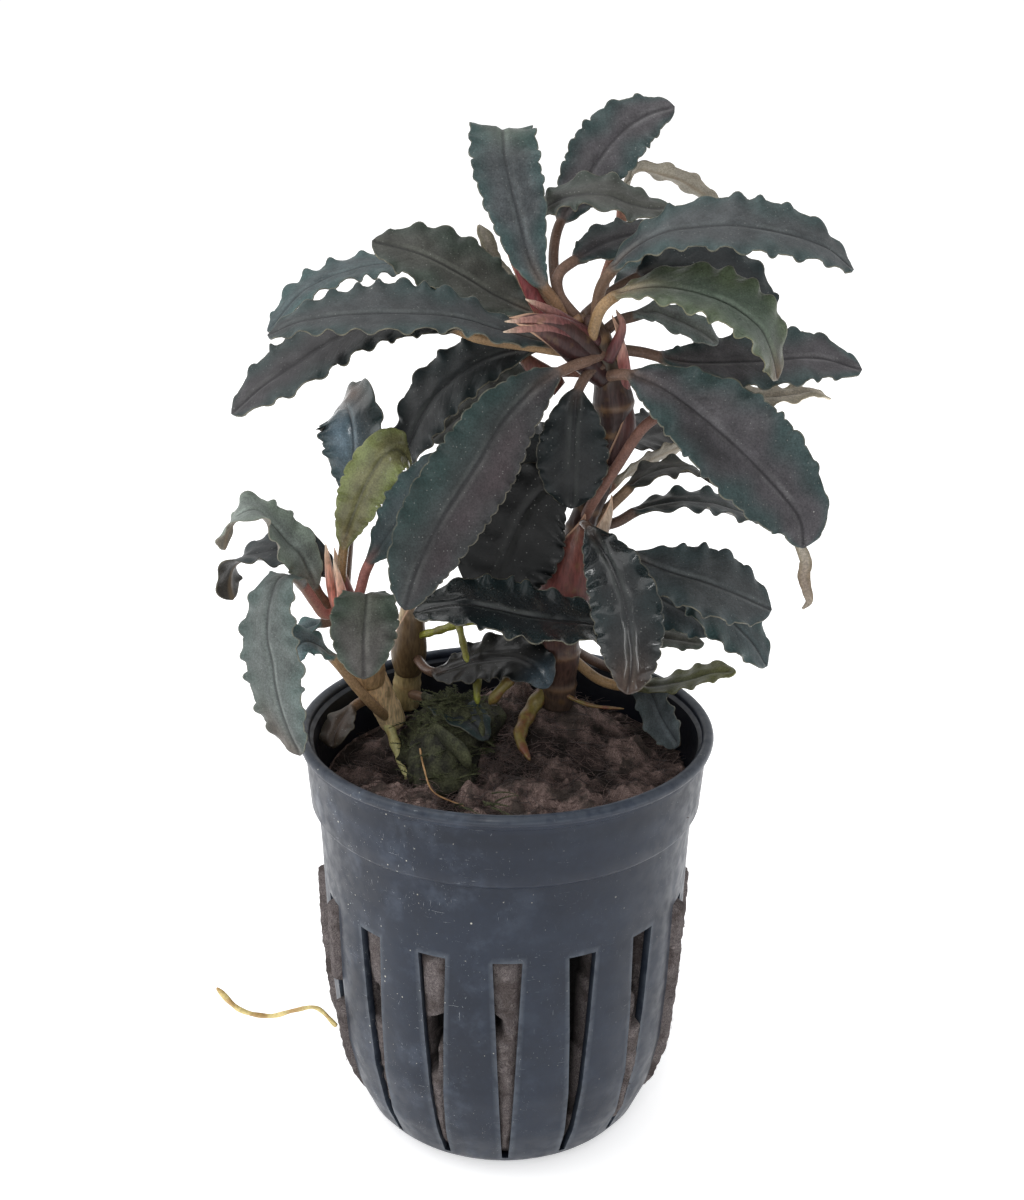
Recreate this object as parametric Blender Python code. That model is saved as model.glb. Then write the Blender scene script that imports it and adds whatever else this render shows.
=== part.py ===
"""A bucephalandra growing in a slotted net pot that is filled with rock wool.

Metres, +Z up. The origin is the centre of the pot's flat base, and the pot's front faces -Y.
Sizes are written in millimetres, and MM turns them into metres where a mesh is made.
"""

import math
from collections import namedtuple

import bpy
import numpy as np
from mathutils import Matrix, Vector

MM = 0.001
GAP = 0.3  # left between pieces that touch
SHARP = 40.0  # degrees between faces from which an edge is drawn sharp

# Net pot: a plain collar over a slotted body with a rounded foot
POT_HEIGHT = 54.0
RIM_RADIUS = 26.0
RIM_WIDTH = 1.8
LIP_HEIGHT = 1.6
LIP_ROUND = 0.4
COLLAR_TOP_RADIUS = 25.1
COLLAR_FOOT_RADIUS = 24.6
COLLAR_FOOT = 44.5  # height of the collar's lower edge
COLLAR_STEP = 0.5
WALL = 1.0
FLOOR = 1.2
FLOOR_INSET = 0.2  # the floor inside is narrower than the base by this much all round
# Height and radius of the slotted body, from the flat base up to the collar
BODY_PROFILE = ((0.0, 16.2), (2.2, 18.8), (6.6, 20.7), (13.5, 22.1), (22.5, 22.8), (33.6, 23.2),
                (44.0, 23.8))
SLOTS = 16
SLOT_WIDTH = 3.5
SLOT_FOOT_WIDTH = 0.8
SLOT_FOOT, SLOT_HEAD = 2.2, 33.6  # heights, both of them in BODY_PROFILE
SLOT_PHASE = 1.0  # degrees to the right of the pot's front

# Rock wool: its top lies below the rim and rises under the main stem
WOOL_TOP = 47.5
WOOL_DIP = 2.0  # lower at the back left
MOUND_CENTRE = Vector((5.0, 5.0))
MOUND_HEIGHT = 6.0
MOUND_SPREAD = 8.0
WOOL_RINGS = 3
WOOL_SLOT_GAP = 0.42  # between the wool in a slot and each side of the slot
WOOL_SLOT_LEAST = 0.15  # half of the wool's least width in a slot
WOOL_SLOT_TAPER = 0.8  # width of the wool at its outside, as a share of its width at the wall
# Heights of the rings of the wool inside the pot's body
WOOL_LEVELS = (2.4, 3.6, 6.6, 13.5, 22.5, 31.2, 33.0, 40.0)
BULGE_RISE = 8.0  # height over which a bulge grows from the slot's foot
# How far the wool stands out of each slot past the wall, from the front slot round to the right
WOOL_BULGES = (-0.5, -1.0, 0.3, 1.0, 0.9, 0.5, -0.5, 0.2, -0.3, 0.3, 0.5, 0.8, 1.2, 0.9, -0.6, -0.3)

# Leaves, stalks and stems
LEAF_THICKNESS = 0.6
STALK_THICKNESS = 1.2
RUFFLE = 0.5  # how far a margin waves to either side
RUFFLED_WIDTH = 8.0  # leaves narrower than this wave less
LEAF_STEP = 2.7  # between the rings of a leaf
TIP_RING = 0.3  # how far before the tip the last ring lies, in steps
BLADE_SKEW, BLADE_BLUNT = 1.2, 0.55  # the blade is widest past its middle, with a blunt foot and tip
BLADE_MIDDLE = 0.45  # share of the blade where a leaf's turn is taken
LEAF_FACING = Vector((0.2, -1.0, 0.4))  # about where a leaf's upper side faces before its turn
STEM_FACING = Vector((0.3, 1.0, 0.2))
STEM_STEP = 3.5
STEM_SIDES = 8
SPEAR_RADII = (1.1, 0.8, 0.2)
SPEAR_STEP = 2.0
SPEAR_SIDES = 5
CURVE_PARTS = 12  # straight parts that a smooth path has between two of its corners
FINE_STEP = 0.5

# The plant is laid out as it is seen from one place in front of the pot and above it.
# A spot is (right, up, depth): how far right and up of the middle of that view it is seen, in
# millimetres at the distance VIEW_REACH, and its real depth Y.
VIEW_FROM = Vector((0.0, -172.1, 132.7))
VIEW_DOWN = 20.0
VIEW_TURN = 0.2
VIEW_ROLL = 0.55
VIEW_REACH = 187.5

# Stems: spine from the ground up, radius at the foot, the middle and the top
Stem = namedtuple("Stem", "name spine radii spears")
STEMS = (
    Stem("main_stem", ((5.6, -13, 3), (5.9, -9, 2.5), (6, -4, 2), (6.8, 3, 1.5), (8.7, 9.4, 1),
         (11, 15.6, 1), (12.6, 21.3, 1), (12.5, 26.3, 0.5), (11, 32, 0), (9.3, 35.5, 0)),
         (2.1, 2.6, 1.7, 1.7, 2.3, 1.2),
         (((10.5, 32.5, -1), (5, 35, -4.5), (-0.9, 34.8, -7.5)),
          ((10, 31.5, -1), (4.5, 34, -5), (-1.1, 33.5, -8)),
          ((9.5, 33, -1), (5, 36, -3), (1.7, 37.6, -5)),
          ((12, 30, -1), (13.8, 34, -1.5), (13, 36.3, -1)))),
    Stem("left_stem", ((-14.8, -15.4, 8), (-16.2, -12.3, 7), (-17.8, -9.3, 6), (-19.5, -5, 5),
         (-20.8, -1, 4)), (1.7, 1.9, 1.8, 1.5),
         (((-21.3, -2, 3.5), (-22.5, 1.5, 2.8), (-23.3, 7, 2.2)),
          ((-21, -2, 3), (-21.3, 1, -0.5), (-22.3, 5, -1.5)))),
    Stem("back_stem", ((-13.4, -13, 14), (-12.9, -8, 13), (-12.6, -3, 12), (-12.2, 2, 11)),
         (1.9, 1.8, 1.6), ()),
)

# Leaves: spine from the stem to the tip, share of it that is stalk, width, turn, twist, keel, colour.
# A turn of 0 shows the upper side to the viewer at the middle of the blade, twist is how much
# further it turns from the blade's foot to its tip, and keel lifts both margins. All in degrees.
Leaf = namedtuple("Leaf", "name spine stalk width turn twist keel colour")
LEAVES = (
    # From the crown of the main stem
    Leaf("leaf_upright", ((7, 34.5, -0.5), (5.6, 37, -0.5), (4, 39.2, -0.3), (2.6, 41.6, 0),
         (1.6, 44.5, 0.4), (0.8, 48, 1), (-0.1, 51.5, 1.8), (-0.9, 55.3, 3), (-1.2, 58.7, 6.5),
         (-1.1, 57.6, 11), (-0.8, 54, 13)), 0.06, 8.1, 12, 0, 5, "green"),
    Leaf("leaf_brown_left", ((7, 34.5, 1.5), (3, 35.8, 3), (-2, 38, 4.3), (-6.5, 40.7, 5.2),
         (-11.5, 43.2, 6), (-17.5, 44.8, 6.8)), 0.12, 11, 47, 0, 8, "brown"),
    Leaf("leaf_long_left", ((8, 32, 0), (4.5, 32.2, -1), (-1.5, 33.7, -2.5), (-8, 35.4, -4),
         (-18, 35.7, -5), (-26, 34.8, -4.5), (-30.5, 33, -4)), 0.05, 12, 63, 0, 10, "green"),
    Leaf("leaf_back_left", ((7.5, 34.5, 3.5), (5.2, 36.5, 7.5), (2, 39.3, 11.2), (-6, 41.7, 13.5),
         (-14, 42.1, 13), (-20, 41.2, 12), (-26, 38.6, 9.5), (-30.5, 33.5, 7)), 0.25, 8.3, 70, 0, 4,
         "bluish"),
    Leaf("leaf_drooping_left", ((8, 31, 0), (2, 31.8, 0.5), (-3.9, 32.7, 1), (-7, 33.9, 1),
         (-11, 34.9, 0.8), (-15, 35, 0.4), (-19, 34, 0.2), (-23, 32, 0), (-27.5, 29.1, -0.8),
         (-31.2, 26.6, -1.3), (-35, 23.2, -2)), 0.3, 11, 55, 0, 5, "purple"),
    Leaf("leaf_small_pale", ((7.5, 34.5, 2), (4, 37.5, 6.5), (0, 40, 9.2), (-2.6, 42.2, 10.2),
         (-3.1, 44.6, 10), (-4.2, 46.9, 10)), 0.5, 2.8, 30, 30, 10, "pale"),
    Leaf("leaf_dark_left", ((9, 31, 1), (4, 31.6, 3), (-1, 30.9, 4.5), (-5, 29.2, 5.2), (-8.5, 26.5, 6),
         (-11, 23.3, 6.3), (-12.8, 19.6, 6.5), (-14, 16.5, 6.5)), 0.15, 9.2, 40, 0, 5, "dark"),
    Leaf("leaf_hidden_left", ((12, 28, 1.5), (6, 28.5, 5), (1, 27, 8), (-5, 24, 10.5), (-10, 20, 12)),
         0.2, 9, 45, 0, 5, "brown"),
    Leaf("leaf_front_left", ((11, 30.5, -1.5), (7.5, 29.2, -4.5), (4.1, 27.5, -7), (1.6, 25.3, -9),
         (-1.3, 22, -10.8), (-4, 17.5, -12.5), (-6.6, 13.5, -13.8), (-9.1, 9.6, -14.9), (-11.9, 4, -15.9),
         (-13.4, -1.2, -16)), 0.1, 9.8, 5, 0, 12, "purple"),
    Leaf("leaf_under_crown", ((11, 29, -1.5), (9.7, 28.5, -2.3), (8.2, 26, -3.8), (7.8, 22.5, -4.7),
         (7.6, 18.8, -5), (7.5, 15, -5), (7.4, 11.5, -4)), 0.12, 8.6, 0, 0, -8, "dark"),
    Leaf("leaf_top", ((8.5, 34.5, 2), (6, 38, 4), (5.2, 42, 6), (5.6, 46, 8), (7.2, 49.3, 10),
         (9, 52.2, 11.2), (10.9, 55.1, 12), (12.8, 57.5, 13.2), (14.6, 59.2, 14.2), (16.5, 60.4, 15),
         (18.2, 61.1, 15.5), (20.3, 61.6, 16)), 0.35, 8.4, -15, -20, 6, "purple"),
    Leaf("leaf_top_middle", ((8, 34.5, 1), (4, 38.5, 3), (2.6, 43, 4.3), (3.2, 47.5, 4.8),
         (5.4, 49.7, 4.5), (8.5, 50.6, 4), (11.6, 50.6, 3.5), (14.7, 49.5, 3.5), (17.3, 48.9, 3.6),
         (20, 49, 4)), 0.35, 7.6, -60, 0, 8, "brown"),
    Leaf("leaf_small_dark", ((8.5, 35, 0.5), (6, 38, 0.8), (5.9, 40.8, 1.3), (8.4, 42.8, 3),
         (11.4, 44.5, 5), (15, 45.6, 7), (18.5, 46.4, 8)), 0.3, 6.8, -50, 0, 5, "purple"),
    Leaf("leaf_pale_back", ((9.5, 34, 3), (10.6, 35.6, 5), (11.3, 37.5, 7), (11.6, 40, 9), (12.6, 43, 11),
         (13.5, 46, 12.5), (13.8, 49, 14), (14.3, 52, 15), (15.4, 53.9, 15.6), (17.3, 53.8, 16.4),
         (19.1, 53.3, 17), (21, 52.7, 17.5), (22.9, 51.6, 18), (24.4, 50.5, 18.2), (26.2, 49.2, 18.3)),
         0.5, 4.6, -115, 0, 5, "pale"),
    Leaf("leaf_long_right", ((10.5, 33.5, 0), (10.6, 36.5, -1), (11.2, 39.2, -1.4), (12.7, 41.4, -1.7),
         (15.1, 43.8, -2), (19.1, 45.9, -3), (24, 46.6, -3.5), (28.5, 46.7, -4), (35, 45.5, -4),
         (39.5, 43.8, -3.5), (42.6, 41.2, -3)), 0.07, 11.3, -58, 0, 6, "green"),
    Leaf("leaf_olive_right", ((10, 33, -2), (10.9, 36, -3), (12.6, 37.8, -3.8), (15, 38.7, -4.8),
         (17.9, 39.1, -5.6), (21, 38.8, -6.6), (24, 38.1, -7.6), (27.6, 36.6, -8.6), (30.6, 34.3, -9),
         (31.9, 32.2, -9), (32.6, 30, -8.8), (33.1, 27.5, -8.5)), 0.08, 10.6, -57, 0, 10, "olive"),
    Leaf("leaf_back_right", ((9.5, 36, 2), (14, 39.5, 4), (20, 41.6, 6), (26, 40.6, 7), (30.3, 37.4, 6.5),
         (32.6, 33.8, 6)), 0.2, 10.3, -45, 0, 5, "dark"),
    Leaf("leaf_narrow_right", ((11, 33, 1), (13.2, 34.8, 1), (15.4, 35.5, 0.8), (17.6, 36, 0.5),
         (19.6, 35.4, 0.2), (21.7, 34.5, 0), (23.8, 33.4, -0.5), (25.7, 31.9, -1)), 0.1, 5, -52, 0, 5,
         "dark"),
    Leaf("leaf_far_right", ((11, 31.5, 1), (16, 31, 4), (22, 29.7, 6), (31, 29.8, 8), (38, 30.2, 9),
         (43.7, 28.7, 9)), 0.15, 10.4, -48, 0, 6, "purple"),
    Leaf("leaf_curled_right", ((12, 28.5, 2), (18, 27, 6), (25, 25.3, 8), (31.5, 25.3, 9), (35, 25.6, 9.5),
         (37.6, 26, 10), (39.8, 25.1, 10.5)), 0.25, 5, -60, -20, 5, "pale"),
    Leaf("leaf_front_right", ((12, 28, -1), (14.1, 28.2, -4), (17.2, 27.3, -6), (21.1, 25, -8.2),
         (26.2, 20.8, -10.5), (30.1, 17.1, -11.8), (33.6, 13.3, -12.6), (36, 10, -13),
         (36.4, 6.5, -13.5)), 0.05, 12.4, -25, 0, 15, "purple"),
    Leaf("leaf_withered", ((34.2, 9.6, -10.5), (35.8, 7, -11), (36.7, 4.9, -11), (36.5, 2.9, -11),
         (36.9, 1.1, -11), (37.1, -0.2, -11), (36.3, -1.1, -11)), 0, 1.5, 0, 90, 0, "pale"),
    # From the side shoot, half way up the main stem
    Leaf("leaf_hanging_front", ((8.7, 8.5, 1), (9, 9.4, -2), (9.7, 8.8, -4), (11.3, 6.2, -7.3),
         (12.7, 3.6, -9.6), (14.05, -0.3, -12.4), (14.65, -4.3, -14.9), (14.9, -8.3, -16.6),
         (14.4, -11.8, -17.5)), 0.04, 8.5, 0, 0, -12, "dark"),
    Leaf("leaf_right_low", ((8.7, 8.5, 1), (12.5, 7, -1), (16, 5, -2), (20, 3.4, -3), (24, 2.2, -4),
         (28, 0.7, -4.5), (32.4, -1.3, -4.5)), 0.15, 12.2, -47, 0, 5, "dark"),
    Leaf("leaf_right_lower", ((8, 6, 2), (13, 3.5, 4), (18, 0.5, 5), (23, -2.3, 5), (25.5, -4, 5)),
         0.15, 8, -35, 0, 5, "dark"),
    Leaf("leaf_right_lowest", ((8.3, 6, 1), (13, 5, 1.5), (17.5, 4.2, 1.2), (22.1, 2, 0.5), (25, -0.5, 0),
         (27.8, -3.1, -0.4), (30.1, -5.5, -0.8), (31.8, -8.3, -1)), 0.15, 10.6, -52, 0, 5, "bluish"),
    Leaf("leaf_brown_small", ((6.5, 0, 2), (13, -3, 4), (18, -4.6, 5), (24, -5.5, 6)), 0.3, 4.8, -60, 0,
         5, "brown"),
    Leaf("leaf_olive_low", ((6.2, -6, 2.5), (11, -10, 4), (16, -10.9, 4), (21, -10.3, 3), (25, -9.2, 2),
         (28, -9, 1)), 0.35, 5.5, -60, 0, 5, "olive"),
    Leaf("leaf_edge_on", ((8.7, 9.4, 1), (10.8, 10.4, 1.6), (13.5, 12.9, 2.4), (15.8, 15, 3),
         (18.5, 16.2, 3.7), (22, 16.5, 4.4), (25.2, 14.6, 5)), 0.12, 9, -73, 0, 3, "brown"),
    Leaf("leaf_low_arching", ((9, 8.8, 2), (13, 9.7, 4), (16, 11.3, 5), (20, 12.2, 5.5), (23.5, 12.2, 6),
         (27, 11.5, 6), (31, 9.8, 6)), 0.2, 8.3, -70, 0, 5, "dark"),
    Leaf("leaf_pale_under", ((9.4, 11, 2), (12, 13.9, 5), (15.8, 16.9, 8.8), (19.6, 18.7, 11),
         (23, 20, 12)), 0.1, 4.4, -110, 0, 0, "pale"),
    Leaf("leaf_dark_behind", ((12, 18.5, 1), (15, 19.8, 10), (19, 21, 17), (25, 21, 20), (30, 18.5, 21)),
         0.1, 10, -55, 0, 5, "dark"),
    Leaf("leaf_long_stalk", ((8.7, 9.4, 1), (10, 12, -1.5), (12.9, 16.4, -2.5), (17, 22.1, -2.5),
         (22, 23.8, -1), (28, 22, 0), (32, 18.5, 0.5)), 0.5, 10, -55, 0, 8, "brown"),
    Leaf("leaf_shaded", ((10.5, 17, 0), (8.5, 17, -1.6), (6.3, 15.8, -2.4), (3.7, 13.7, -2.9),
         (1.5, 11, -3), (0.2, 8.3, -3), (-0.9, 5.8, -3), (-1.7, 3.4, -3), (-2.3, 1, -3),
         (-2.5, -0.5, -3)), 0.1, 13.2, 5, 0, 5, "dark"),
    Leaf("leaf_shaded_upper", ((11.5, 18.5, 1.5), (6, 19, 3), (2, 16.5, 4.5), (-2, 12.5, 5.5),
         (-5, 8.5, 6)),
         0.1, 11, 20, 0, 5, "dark"),
    Leaf("leaf_glossy_low", ((6.5, 0, 1.5), (11, -1.5, -1), (13, -3, -4.5), (11.8, -3.3, -6.8),
         (8.5, -2.8, -8), (4.75, -2.5, -8.9), (1.3, -2, -9.6), (-2.2, -1.2, -10), (-6.2, -0.6, -10.2),
         (-10.2, -1.1, -10.2), (-12.3, -1.8, -10)), 0.15, 10.5, 50, 0, 10, "dark"),
    Leaf("leaf_brown_low", ((-12.8, -6, 12.5), (-10, -9, 6), (-5, -7.8, 2), (0, -7.2, 0), (3, -8.5, -2),
         (4.5, -11, -3)), 0.2, 8, -45, 0, 5, "purple"),
    # From the left stem
    Leaf("leaf_olive_upright", ((-20.8, -0.5, 4), (-21.3, 2.5, 1.5), (-21.1, 5.8, 0.5), (-20.6, 8.5, 0),
         (-19.6, 11.3, -0.6), (-18.5, 14, -1.2), (-17.2, 16.4, -1.6), (-15.8, 18.2, -1.8),
         (-14.4, 18.8, -0.7), (-13.2, 17.9, 1), (-12.7, 16.2, 1.8)), 0.25, 6.3, 0, 0, 12, "olive"),
    Leaf("leaf_beside_front", ((-20.6, -1, 4), (-19.2, 0.6, 0.5), (-18.3, 3.6, -1), (-17, 6, -2),
         (-14.8, 9.2, -4), (-12.6, 12.6, -5), (-10.8, 15.8, -5.3), (-9.6, 18.4, -5)), 0.3, 6, -30, 0, 8,
         "bluish"),
    Leaf("leaf_bluish_folded", ((-21, -0.5, 4), (-20.5, 6, 6), (-20, 13, 7.5), (-19.8, 19.2, 8.5),
         (-20.3, 23.3, 10), (-21.3, 24, 13), (-22.5, 22.5, 15.5)), 0.35, 9.3, -30, 0, 8, "bluish"),
    Leaf("leaf_far_left", ((-21.9, -1.5, 4.5), (-24, 0.6, 2.4), (-25.1, 3, 0.2), (-26.5, 5.7, -1.4),
         (-28.1, 7.2, -2.4), (-29.4, 8.7, -3.2), (-30.6, 10, -3.8), (-31.5, 10.9, -4.2),
         (-32.6, 11.2, -4.7), (-33.7, 10.8, -5), (-34.9, 9.7, -5), (-35.8, 8.1, -4.8), (-36, 6.3, -4.5)),
         0.12, 7.3, 58, 140, 10, "green"),
    Leaf("leaf_far_left_dark", ((-21, -0.5, 6), (-23, 3.5, 7), (-25.5, 6, 6), (-29, 6.3, 4),
         (-33, 5.4, 3), (-34.9, 4.2, 2.6), (-35.4, 2.2, 2.2), (-35, 0, 2)), 0.1, 8.5, 60, 140, 5, "dark"),
    Leaf("leaf_hanging_left", ((-21, -1, 4), (-23.3, -1.8, 1), (-24.7, -0.2, -1.5), (-26.3, 2, -3.5),
         (-28, 3, -5.5), (-29.3, 2.4, -6.8), (-30, 0.6, -8), (-30.5, -2, -9), (-30.5, -5, -10),
         (-29.9, -8, -10.8), (-29.5, -11, -11.6), (-28.8, -13.8, -12.3), (-27.8, -16.6, -12.8),
         (-26.4, -19.4, -13)), 0.22, 9, 45, 0, 0, "bluish"),
    Leaf("leaf_facing_left", ((-20.3, -2.5, 4.5), (-19.5, -1, 0), (-18.6, 0.5, -4), (-18.2, 0.2, -7),
         (-18.6, -5, -11.5), (-18.5, -9.9, -14)), 0.25, 8.1, 0, 0, 5, "brown"),
    Leaf("leaf_teal_curved", ((-15.2, -15, 7.5), (-17, -13.5, 4), (-19.3, -11, 2.5), (-21.7, -8, 2),
         (-23.8, -6, 1.3), (-25.8, -5.2, 0.3), (-27, -6.2, -0.6), (-26.6, -7.8, -1)), 0.55, 5.8, 60, 0, 5,
         "bluish"),
    Leaf("leaf_teal_small", ((-20, -3, 5), (-22, -2.6, 4.8), (-25, -3.3, 4.6), (-27.4, -4.5, 4)),
         0.1, 4.5, 60, 0, 5, "bluish"),
    # Low leaves inside the pot
    Leaf("leaf_in_pot_left", ((-15.5, -14, 7.5), (-18, -12.5, 6), (-20.5, -14, 3.5), (-22, -16.5, 1),
         (-22.4, -18.5, -0.5)), 0.15, 5, 40, 0, 5, "brown"),
    Leaf("leaf_in_pot_front", ((-13.2, -11.5, 13.5), (-9, -13, 5), (-5.3, -15, 0), (-3, -17.5, -2)),
         0.2, 6, -50, 0, 10, "green"),
    Leaf("leaf_in_pot_right", ((6.4, -5.5, 3.5), (11, -8, 8), (15, -9.3, 10), (17.3, -11.5, 8.5),
         (18.6, -14.5, 5.5), (20, -16.8, 3), (20.9, -18.2, 1)), 0.35, 6.5, 45, 0, 10, "dark"),
    # Behind the plant
    Leaf("leaf_behind_left", ((9, 31, 2), (4, 33, 9), (-2, 37, 14), (-8, 38.5, 19), (-12, 38, 23)),
         0.15, 11, 60, 0, 8, "green"),
    Leaf("leaf_behind_right", ((9.5, 34.5, 1), (14, 39, 8), (20, 41.5, 14), (26, 42, 20), (31, 41, 24)),
         0.15, 11, -60, 0, 8, "green"),
    Leaf("leaf_behind_middle", ((12.5, 20, 1), (8, 20, 8), (3, 18, 13), (-2, 14, 18), (-6, 9, 21)),
         0.15, 11, 50, 0, 8, "dark"),
    Leaf("leaf_behind_low", ((6.2, -2, 2), (5, -2.5, 9), (3, -4, 15), (0, -7, 20)),
         0.15, 10, 60, 0, 5, "dark"),
)

# Moss and liverwort clump on the wool
MOSS_CENTRE = Vector((-7.0, 0.0))
MOSS_SIZE = Vector((6.0, 9.0))
MOSS_HEIGHT = 4.0
MOSS_RINGS, MOSS_SIDES = 4, 14
MOSS_LUMPS = ((3, 0.16, 1), (5, 0.1, 2))  # lumps round the cushion, their share, and their turn per ring

# The thin root that hangs out of a slot on the left
ROOT_SPINE = ((-22, -53.2, -9.5), (-24.4, -51, -10), (-30.3, -52, -11), (-34, -51.2, -12),
              (-36.9, -48.5, -12))
ROOT_RADII = (0.35, 0.35, 0.42)
ROOT_STEP = 2.5
ROOT_SIDES = 5

# name: colour, roughness
COLOURS = {
    "green": ((0.045, 0.060, 0.052), 0.45),
    "dark": ((0.028, 0.036, 0.034), 0.40),
    "purple": ((0.055, 0.050, 0.056), 0.45),
    "brown": ((0.060, 0.055, 0.042), 0.45),
    "bluish": ((0.065, 0.090, 0.092), 0.42),
    "olive": ((0.150, 0.150, 0.045), 0.45),
    "pale": ((0.330, 0.290, 0.230), 0.60),
    "stem": ((0.230, 0.110, 0.075), 0.50),
    "root": ((0.520, 0.450, 0.200), 0.55),
    "moss": ((0.070, 0.085, 0.025), 0.90),
    "rock_wool": ((0.140, 0.105, 0.080), 0.95),
    "pot_plastic": ((0.030, 0.036, 0.046), 0.42),
}


def material(colour):
    """The Principled material of a colour, made on its first use."""
    made = bpy.data.materials.get(colour)
    if made is None:
        made = bpy.data.materials.new(colour)
        made.use_nodes = True
        rgb, roughness = COLOURS[colour]
        shader = made.node_tree.nodes["Principled BSDF"]
        shader.inputs["Base Color"].default_value = (*rgb, 1.0)
        shader.inputs["Roughness"].default_value = roughness
        shader.inputs["Metallic"].default_value = 0.0
        made.diffuse_color = (*rgb, 1.0)
    return made


def add_object(name, points, faces, colour):
    """An object whose mesh has the points, given in millimetres, and the faces."""
    mesh = bpy.data.meshes.new(name)
    mesh.from_pydata([tuple(c * MM for c in p) for p in points], [], faces)
    mesh.validate()
    mesh.shade_smooth()
    mesh.set_sharp_from_angle(angle=math.radians(SHARP))
    mesh.materials.append(material(colour))
    made = bpy.data.objects.new(name, mesh)
    bpy.context.collection.objects.link(made)
    return made


def spot(right, up, depth):
    """The place, in millimetres, that is seen at (right, up) and lies at the depth Y."""
    view = Matrix.Rotation(math.radians(-VIEW_TURN), 3, "Z")
    view = view @ Matrix.Rotation(math.radians(90 - VIEW_DOWN), 3, "X")
    view = view @ Matrix.Rotation(math.radians(VIEW_ROLL), 3, "Z")
    sight = view @ Vector((right, up, -VIEW_REACH))
    return VIEW_FROM + sight * ((depth - VIEW_FROM.y) / sight.y)


def smooth_path(corners, step):
    """Points about a step apart, evenly spaced along a smooth curve through the corners."""
    ends = [2 * corners[0] - corners[1], *corners, 2 * corners[-1] - corners[-2]]
    fine = []
    for a, b, c, d in zip(ends, ends[1:], ends[2:], ends[3:]):
        for t in (k / CURVE_PARTS for k in range(CURVE_PARTS)):
            fine.append(0.5 * (2 * b + (c - a) * t + (2 * a - 5 * b + 4 * c - d) * t**2
                               + (3 * b - a - 3 * c + d) * t**3))
    fine = np.array([*fine, corners[-1]])
    along = np.concatenate(([0], np.cumsum(np.linalg.norm(np.diff(fine, axis=0), axis=1))))
    count = max(4, round(along[-1] / step))
    places = np.linspace(0, along[-1], count + 1)
    return [Vector(p) for p in np.stack([np.interp(places, along, fine[:, i]) for i in range(3)], 1)]


def tangents(path):
    """The direction of a path at each of its points."""
    ahead = [*path[1:], 2 * path[-1] - path[-2]]
    behind = [2 * path[0] - path[1], *path[:-1]]
    return [(a - b).normalized() for a, b in zip(ahead, behind)]


def carried_normals(path, first):
    """Normals along a path that start near first and turn no more than the path itself."""
    directions = tangents(path)
    normals = [(first - first.dot(directions[0]) * directions[0]).normalized()]
    for before, after in zip(directions, directions[1:]):
        normals.append(before.rotation_difference(after) @ normals[-1])
    return normals


def loft(rings, tip=None):
    """Points and faces of a closed solid through rings of equal length, with a pointed tip if given."""
    size = len(rings[0])
    points = [p for ring in rings for p in ring]
    faces = [tuple(reversed(range(size)))]
    for low in range(0, size * (len(rings) - 1), size):
        for i in range(size):
            j = (i + 1) % size
            faces.append((low + i, low + j, low + size + j, low + size + i))
    top = size * (len(rings) - 1)
    if tip is None:
        faces.append(tuple(range(top, top + size)))
    else:
        points.append(tip)
        faces += [(top + i, top + (i + 1) % size, len(points) - 1) for i in range(size)]
    return points, faces


def round_ring(centre, direction, normal, radius, sides):
    """A ring of points around a path, counter-clockwise as seen from its far end."""
    across = direction.cross(normal)
    turns = [2 * math.pi * k / sides for k in range(sides)]
    return [centre + radius * (math.cos(t) * normal + math.sin(t) * across) for t in turns]


def tube(name, spine, radii, step, sides, colour, pointed=False):
    """A round solid along a spine of spots, with radii evenly spread along it."""
    path = smooth_path([spot(*s) for s in spine], step)
    places = np.linspace(0, len(radii) - 1, len(path))
    sizes = [float(r) for r in np.interp(places, range(len(radii)), radii)]
    frames = zip(path, tangents(path), carried_normals(path, STEM_FACING), sizes)
    rings = [round_ring(p, d, n, r, sides) for p, d, n, r in frames]
    if pointed:
        points, faces = loft(rings[:-1], path[-1])
    else:
        points, faces = loft(rings)
    return add_object(name, points, faces, colour)


def turn_normals(path, leaf):
    """Normals of a leaf's upper side, turned so that the blade's middle faces as the leaf says."""
    directions = tangents(path)
    normals = carried_normals(path, LEAF_FACING)
    shares = [blade_share(i / (len(path) - 1), leaf.stalk) for i in range(len(path))]
    middle = min(range(len(path)), key=lambda i: abs(shares[i] - BLADE_MIDDLE))
    direction = directions[middle]
    facing = VIEW_FROM - path[middle]
    facing = (facing - facing.dot(direction) * direction).normalized()
    now = normals[middle]
    offset = math.atan2(now.cross(facing).dot(direction), now.dot(facing))
    turned = []
    for direction, normal, share in zip(directions, normals, shares):
        # A positive turn swings the normal from the viewer towards direction x facing
        angle = offset + math.radians(leaf.turn + leaf.twist * (share - 0.5))
        turned.append(Matrix.Rotation(angle, 3, direction) @ normal)
    return turned


def blade_share(along, stalk):
    """How far along the blade a share of the whole spine is: 0 at its foot, 1 at the tip."""
    return max(0.0, (along - stalk) / (1 - stalk))


def blade_profile(share):
    """Half width of a blade at a share of its length, as a share of its widest."""
    return math.sin(math.pi * min(share, 1.0) ** BLADE_SKEW) ** BLADE_BLUNT


def clear_of_stems(path, reach):
    """The path from where it has left every stem by more than reach."""
    stems = [(smooth_path([spot(*s) for s in stem.spine], 2 * FINE_STEP),
         max(stem.radii)) for stem in STEMS]
    for i, point in enumerate(path):
        gaps = [min((point - q).length for q in line) - radius for line, radius in stems]
        if min(gaps) > reach:
            return path[i:]
    return path[-4:]


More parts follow.
